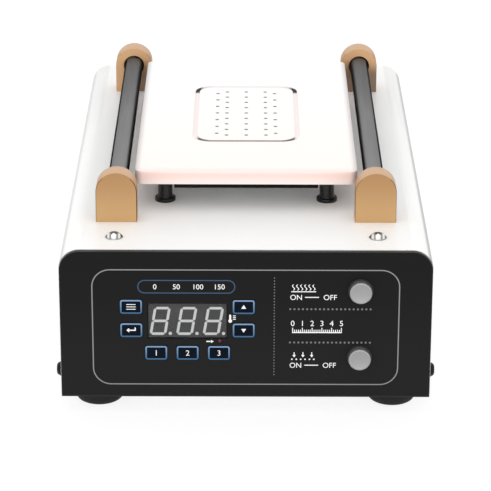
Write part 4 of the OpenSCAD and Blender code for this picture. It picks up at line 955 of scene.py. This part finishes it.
# The upper edges are well rounded and those at the foot a little, with a soft lip at groove and holes.
weights = plate.data.attributes.new("bevel_weight_edge", "FLOAT", "EDGE")
for edge in plate.data.edges:
    ends = [plate.data.vertices[v].co for v in edge.vertices]
    on_top = all(abs(p.z - plate_high.z) < speck for p in ends)
    on_foot = all(abs(p.z - plate_low.z) < speck for p in ends)
    outside = all(max(abs(p.x) - (plate_high.x - edge_zone * mm),
                      abs(p.y - middle_y * mm) - (plate_half_length - edge_zone) * mm) > 0 for p in ends)
    if outside and (on_top or on_foot):
        weights.data[edge.index].value = 1.0 if on_top else 0.25
    elif on_top:
        weights.data[edge.index].value = 0.3 if within(ends, island) else 0.2
bevelled(plate, 1.3, 5, "WEIGHT")
dress(plate, warm_coat_painted_shade, "white_plate", "heating_plate")
plate.data.materials.append(groove_coat_painted_shade)
plate.data.materials.append(bore_metal_and_shade)
for face in plate.data.polygons:
    face.use_smooth = not is_flat(face)
    spots = [plate.data.vertices[v].co for v in face.vertices]
    drop = plate_high.z - min(p.z for p in spots)
    if within(spots, island) and speck < drop < 2.3 * mm:
        face.material_index = 2
    elif within(spots, groove) and speck < drop < 1.3 * mm:
        face.material_index = 1


# Heater: a silicone mat with its wire inside, pressed to the plate by a black painted sheet.
silicone_mat = finish("black_silicone_mat", "#100d0c", 0.7, 0.03, 0.5, 0.68, IOR=1.41, gloss=0.1)
eased("heater_mat", "silicone_heater", silicone_mat, "black_silicone", 0.15)
black_paint = finish("black_painted_sheet", "#0a0a0b", 0.9, 0.012, 0.35, 0.5, IOR=1.5, gloss=0.1)
clamp = eased("heater_clamp", "clamp_sheet", black_paint, "black_sheet", 0.25)
# Under the sheet is a foil that keeps the heat off the case: bright, crinkled aluminium.
shield_foil = finish("aluminium_shield_foil", "#dcdedf", 4.0, 0.12, 0.35, 0.5, Metallic=1.0)
clamp.data.materials.append(shield_foil)
for face in clamp.data.polygons:
    if face.normal.z < -0.99:
        face.material_index = 1


# Posts: four turned phenolic pillars with a flange, which hold the hot plate off the cover.
# Phenolic: black, smooth from the tool, with a long highlight.
phenolic = finish(
    "turned_black_phenolic", "#0d0d0d", 0.35, 0.006, 0.22, 0.36, (0.3, 0.3, 1), IOR=1.6, gloss=0.25)
post_line = rounded(
    [(1.6, 0, 0), (4.65, 0, 0.1), (4.65, 1.6, 0.35), (3.25, 1.6, 0.3), (3.25, 12, 0.15), (1.6, 12, 0)], 4)
post_places = [((x, y + middle_y, cover_top), (0, 0, 0)) for x in (-36.25, 36.25) for y in (-69.25, 69.25)]
set_out("phenolic_posts", turned("post", post_line, 64), post_places, phenolic, "black_phenolic",
        "plate_posts")


# Suction pipe, probe, hose and leads: the pipe hangs from the plate through its grommet, and the
# hose and the leads run inside the case to the pump and the boards.
turned_aluminium = finish("turned_aluminium", "#c3c5c7", 0.2, 0.005, 0.25, 0.38, (0.2, 0.2, 1), Metallic=1.0)
refinish(turned_aluminium, "vacuum_nozzle", "temperature_probe")


def drawn_along(name, routes, width, sides, material, slot, *stands_for):
    """Geometry Nodes draw a smooth round lead or hose along each route of points."""
    def build(tree, start):
        walk = add(tree, "GeometryNodeMeshToCurve", {"Mesh": start["Routes"]})
        soft = add(tree, "GeometryNodeCurveSplineType", {"Curve": walk}, spline_type="CATMULL_ROM")
        even = add(tree, "GeometryNodeResampleCurve", {"Curve": soft, "Length": start["Step"]},
                   mode="LENGTH")
        ring = add(tree, "GeometryNodeCurvePrimitiveCircle", {"Resolution": start["Sides"],
                                                              "Radius": start["Radius"]})
        return add(tree, "GeometryNodeCurveToMesh", {"Curve": even, "Profile Curve": ring,
                                                     "Fill Caps": True})

    points, edges = [], []
    for route in routes:
        edges += [(len(points) + i, len(points) + i + 1) for i in range(len(route) - 1)]
        points += [Vector(p) * mm for p in route]
    lines = bpy.data.meshes.new(name + "_routes")
    lines.from_pydata(points, edges, [])
    settings = {"Radius": ("Float", width / 2 * mm), "Sides": ("Int", sides), "Step": ("Float", 2 * mm)}
    made = grown(name, "Routes", lines, material, settings, build)
    shape = bmesh.new()
    shape.from_mesh(made.data)
    bmesh.ops.recalc_face_normals(shape, faces=shape.faces)
    for skin_face in shape.faces:
        skin_face.smooth = len(skin_face.verts) == 4
    shape.to_mesh(made.data)
    shape.free()
    dress(made, material, slot, *stands_for)


heater_route_a = [
    (22, 6, 84.3), (22, 6, 82), (22.2, 3, 79), (22.4, 0, 77.5), (22.4, -0.2, 73), (22.4, 0, 64), (20, 4, 54),
    (10, 14, 46), (-4, 28, 38), (-13, 35, 32), (-16.6, 37.6, 26), (-17, 40.4, 23), (-17, 43.6, 23)]
heater_route_b = [
    (26, 6, 84.3), (26, 6, 82), (25.8, 3, 79), (25.6, 0, 77.5), (25.6, -0.2, 73), (25.6, 0, 64), (24, 8, 56),
    (14, 22, 49), (-4, 33, 43), (-18, 36, 36), (-24, 37.6, 28), (-25, 40.4, 23), (-25, 43.6, 23)]
probe_route = [
    (24, -12.7, 82.8), (24, -10, 82.8), (24, -6, 81.1), (24, -3.2, 79), (24, -2.2, 76), (24, -2.2, 72),
    (23, -6, 64), (12, -24, 56), (-8.2, -60, 52), (-22.2, -96, 46), (-25.2, -113, 42.6), (-25.2, -119, 42),
    (-25.2, -122.1, 42)]
mains_route_a = [(33, 104.8, 39.5), (33, 101, 39.5), (31, 90, 34), (26, 64, 24), (19, 44, 17), (8, 34, 14.5),
                 (-10, 29.5, 13.5), (-26, 30, 15), (-32, 34, 19), (-33, 39, 23), (-33, 43.6, 23)]
mains_route_b = [(47, 104.8, 39.5), (47, 101, 39.5), (44, 86, 32), (36, 60, 21), (22, 38, 13),
                 (-8, 25.5, 12), (-32, 26, 14), (-40, 31, 18), (-41, 39, 23), (-41, 43.6, 23)]
pump_route = [(44, -87.2, 25.2), (44, -90.4, 25.2), (42, -95, 28), (34, -98, 34), (20, -93, 38),
              (0, -60, 36), (-20, -20, 32), (-40, 18, 28), (-48, 34, 24), (-49, 40, 23), (-49, 43.6, 23)]
heating_route = [
    (49.2, -104.2, 57.6), (49.2, -100.8, 57.6), (43.8, -92, 56.4), (23.8, -80, 52), (-16.2, -64, 48),
    (-40, -30, 42), (-52, 10, 38), (-56, 40, 36), (-56, 52, 32), (-56, 58, 24), (-56, 58, 17.3)]
vacuum_route = [
    (49.2, -104.2, 26.6), (49.2, -100.8, 26.6), (45.8, -98, 27.4), (27.8, -100, 29.4), (5.8, -97, 27.4),
    (-20.2, -80, 26.4), (-50, -40, 25), (-62, 0, 26), (-63, 40, 28), (-62, 54, 26), (-62, 58, 21),
    (-62, 58, 17.3)]
hose_route = [(0, -0.2, 63.2), (0, -0.2, 57), (2, 0, 51), (7, 1.5, 46.8), (14, 3, 44.8), (22, 3, 44.2),
              (29, 1.5, 44.2), (34, -2, 44.2), (36, -9, 44.2), (36, -15.5, 44.2)]
# Silicone over glass braid: a red sleeve, slightly soft and matt.
red_silicone = finish("red_silicone_lead", "#9c2b2b", 0.5, 0.02, 0.4, 0.55, IOR=1.41)
drawn_along("plate_lead_tubes", [heater_route_a, heater_route_b, probe_route], 1.8, 12, red_silicone,
            "red_wire", "plate_leads")
# Vinyl on copper: a smoother, darker red.
vinyl = finish("dark_red_vinyl_lead", "#7a2b2b", 0.8, 0.01, 0.28, 0.4, IOR=1.53)
inner_routes = [mains_route_a, mains_route_b, pump_route, heating_route, vacuum_route]
drawn_along("case_lead_tubes", inner_routes, 1.8, 12, vinyl, "red_wire", "case_wiring")
# Translucent silicone hose: milky and soft, with light coming through its wall.
clear_silicone = finish(
    "milky_silicone_hose", "#d8d8d0", 1.2, 0.02, 0.3, 0.45, IOR=1.41, Subsurface_Weight=0.3)
drawn_along("suction_hose", [hose_route], 8, 24, clear_silicone, "clear_hose", "vacuum_hose")
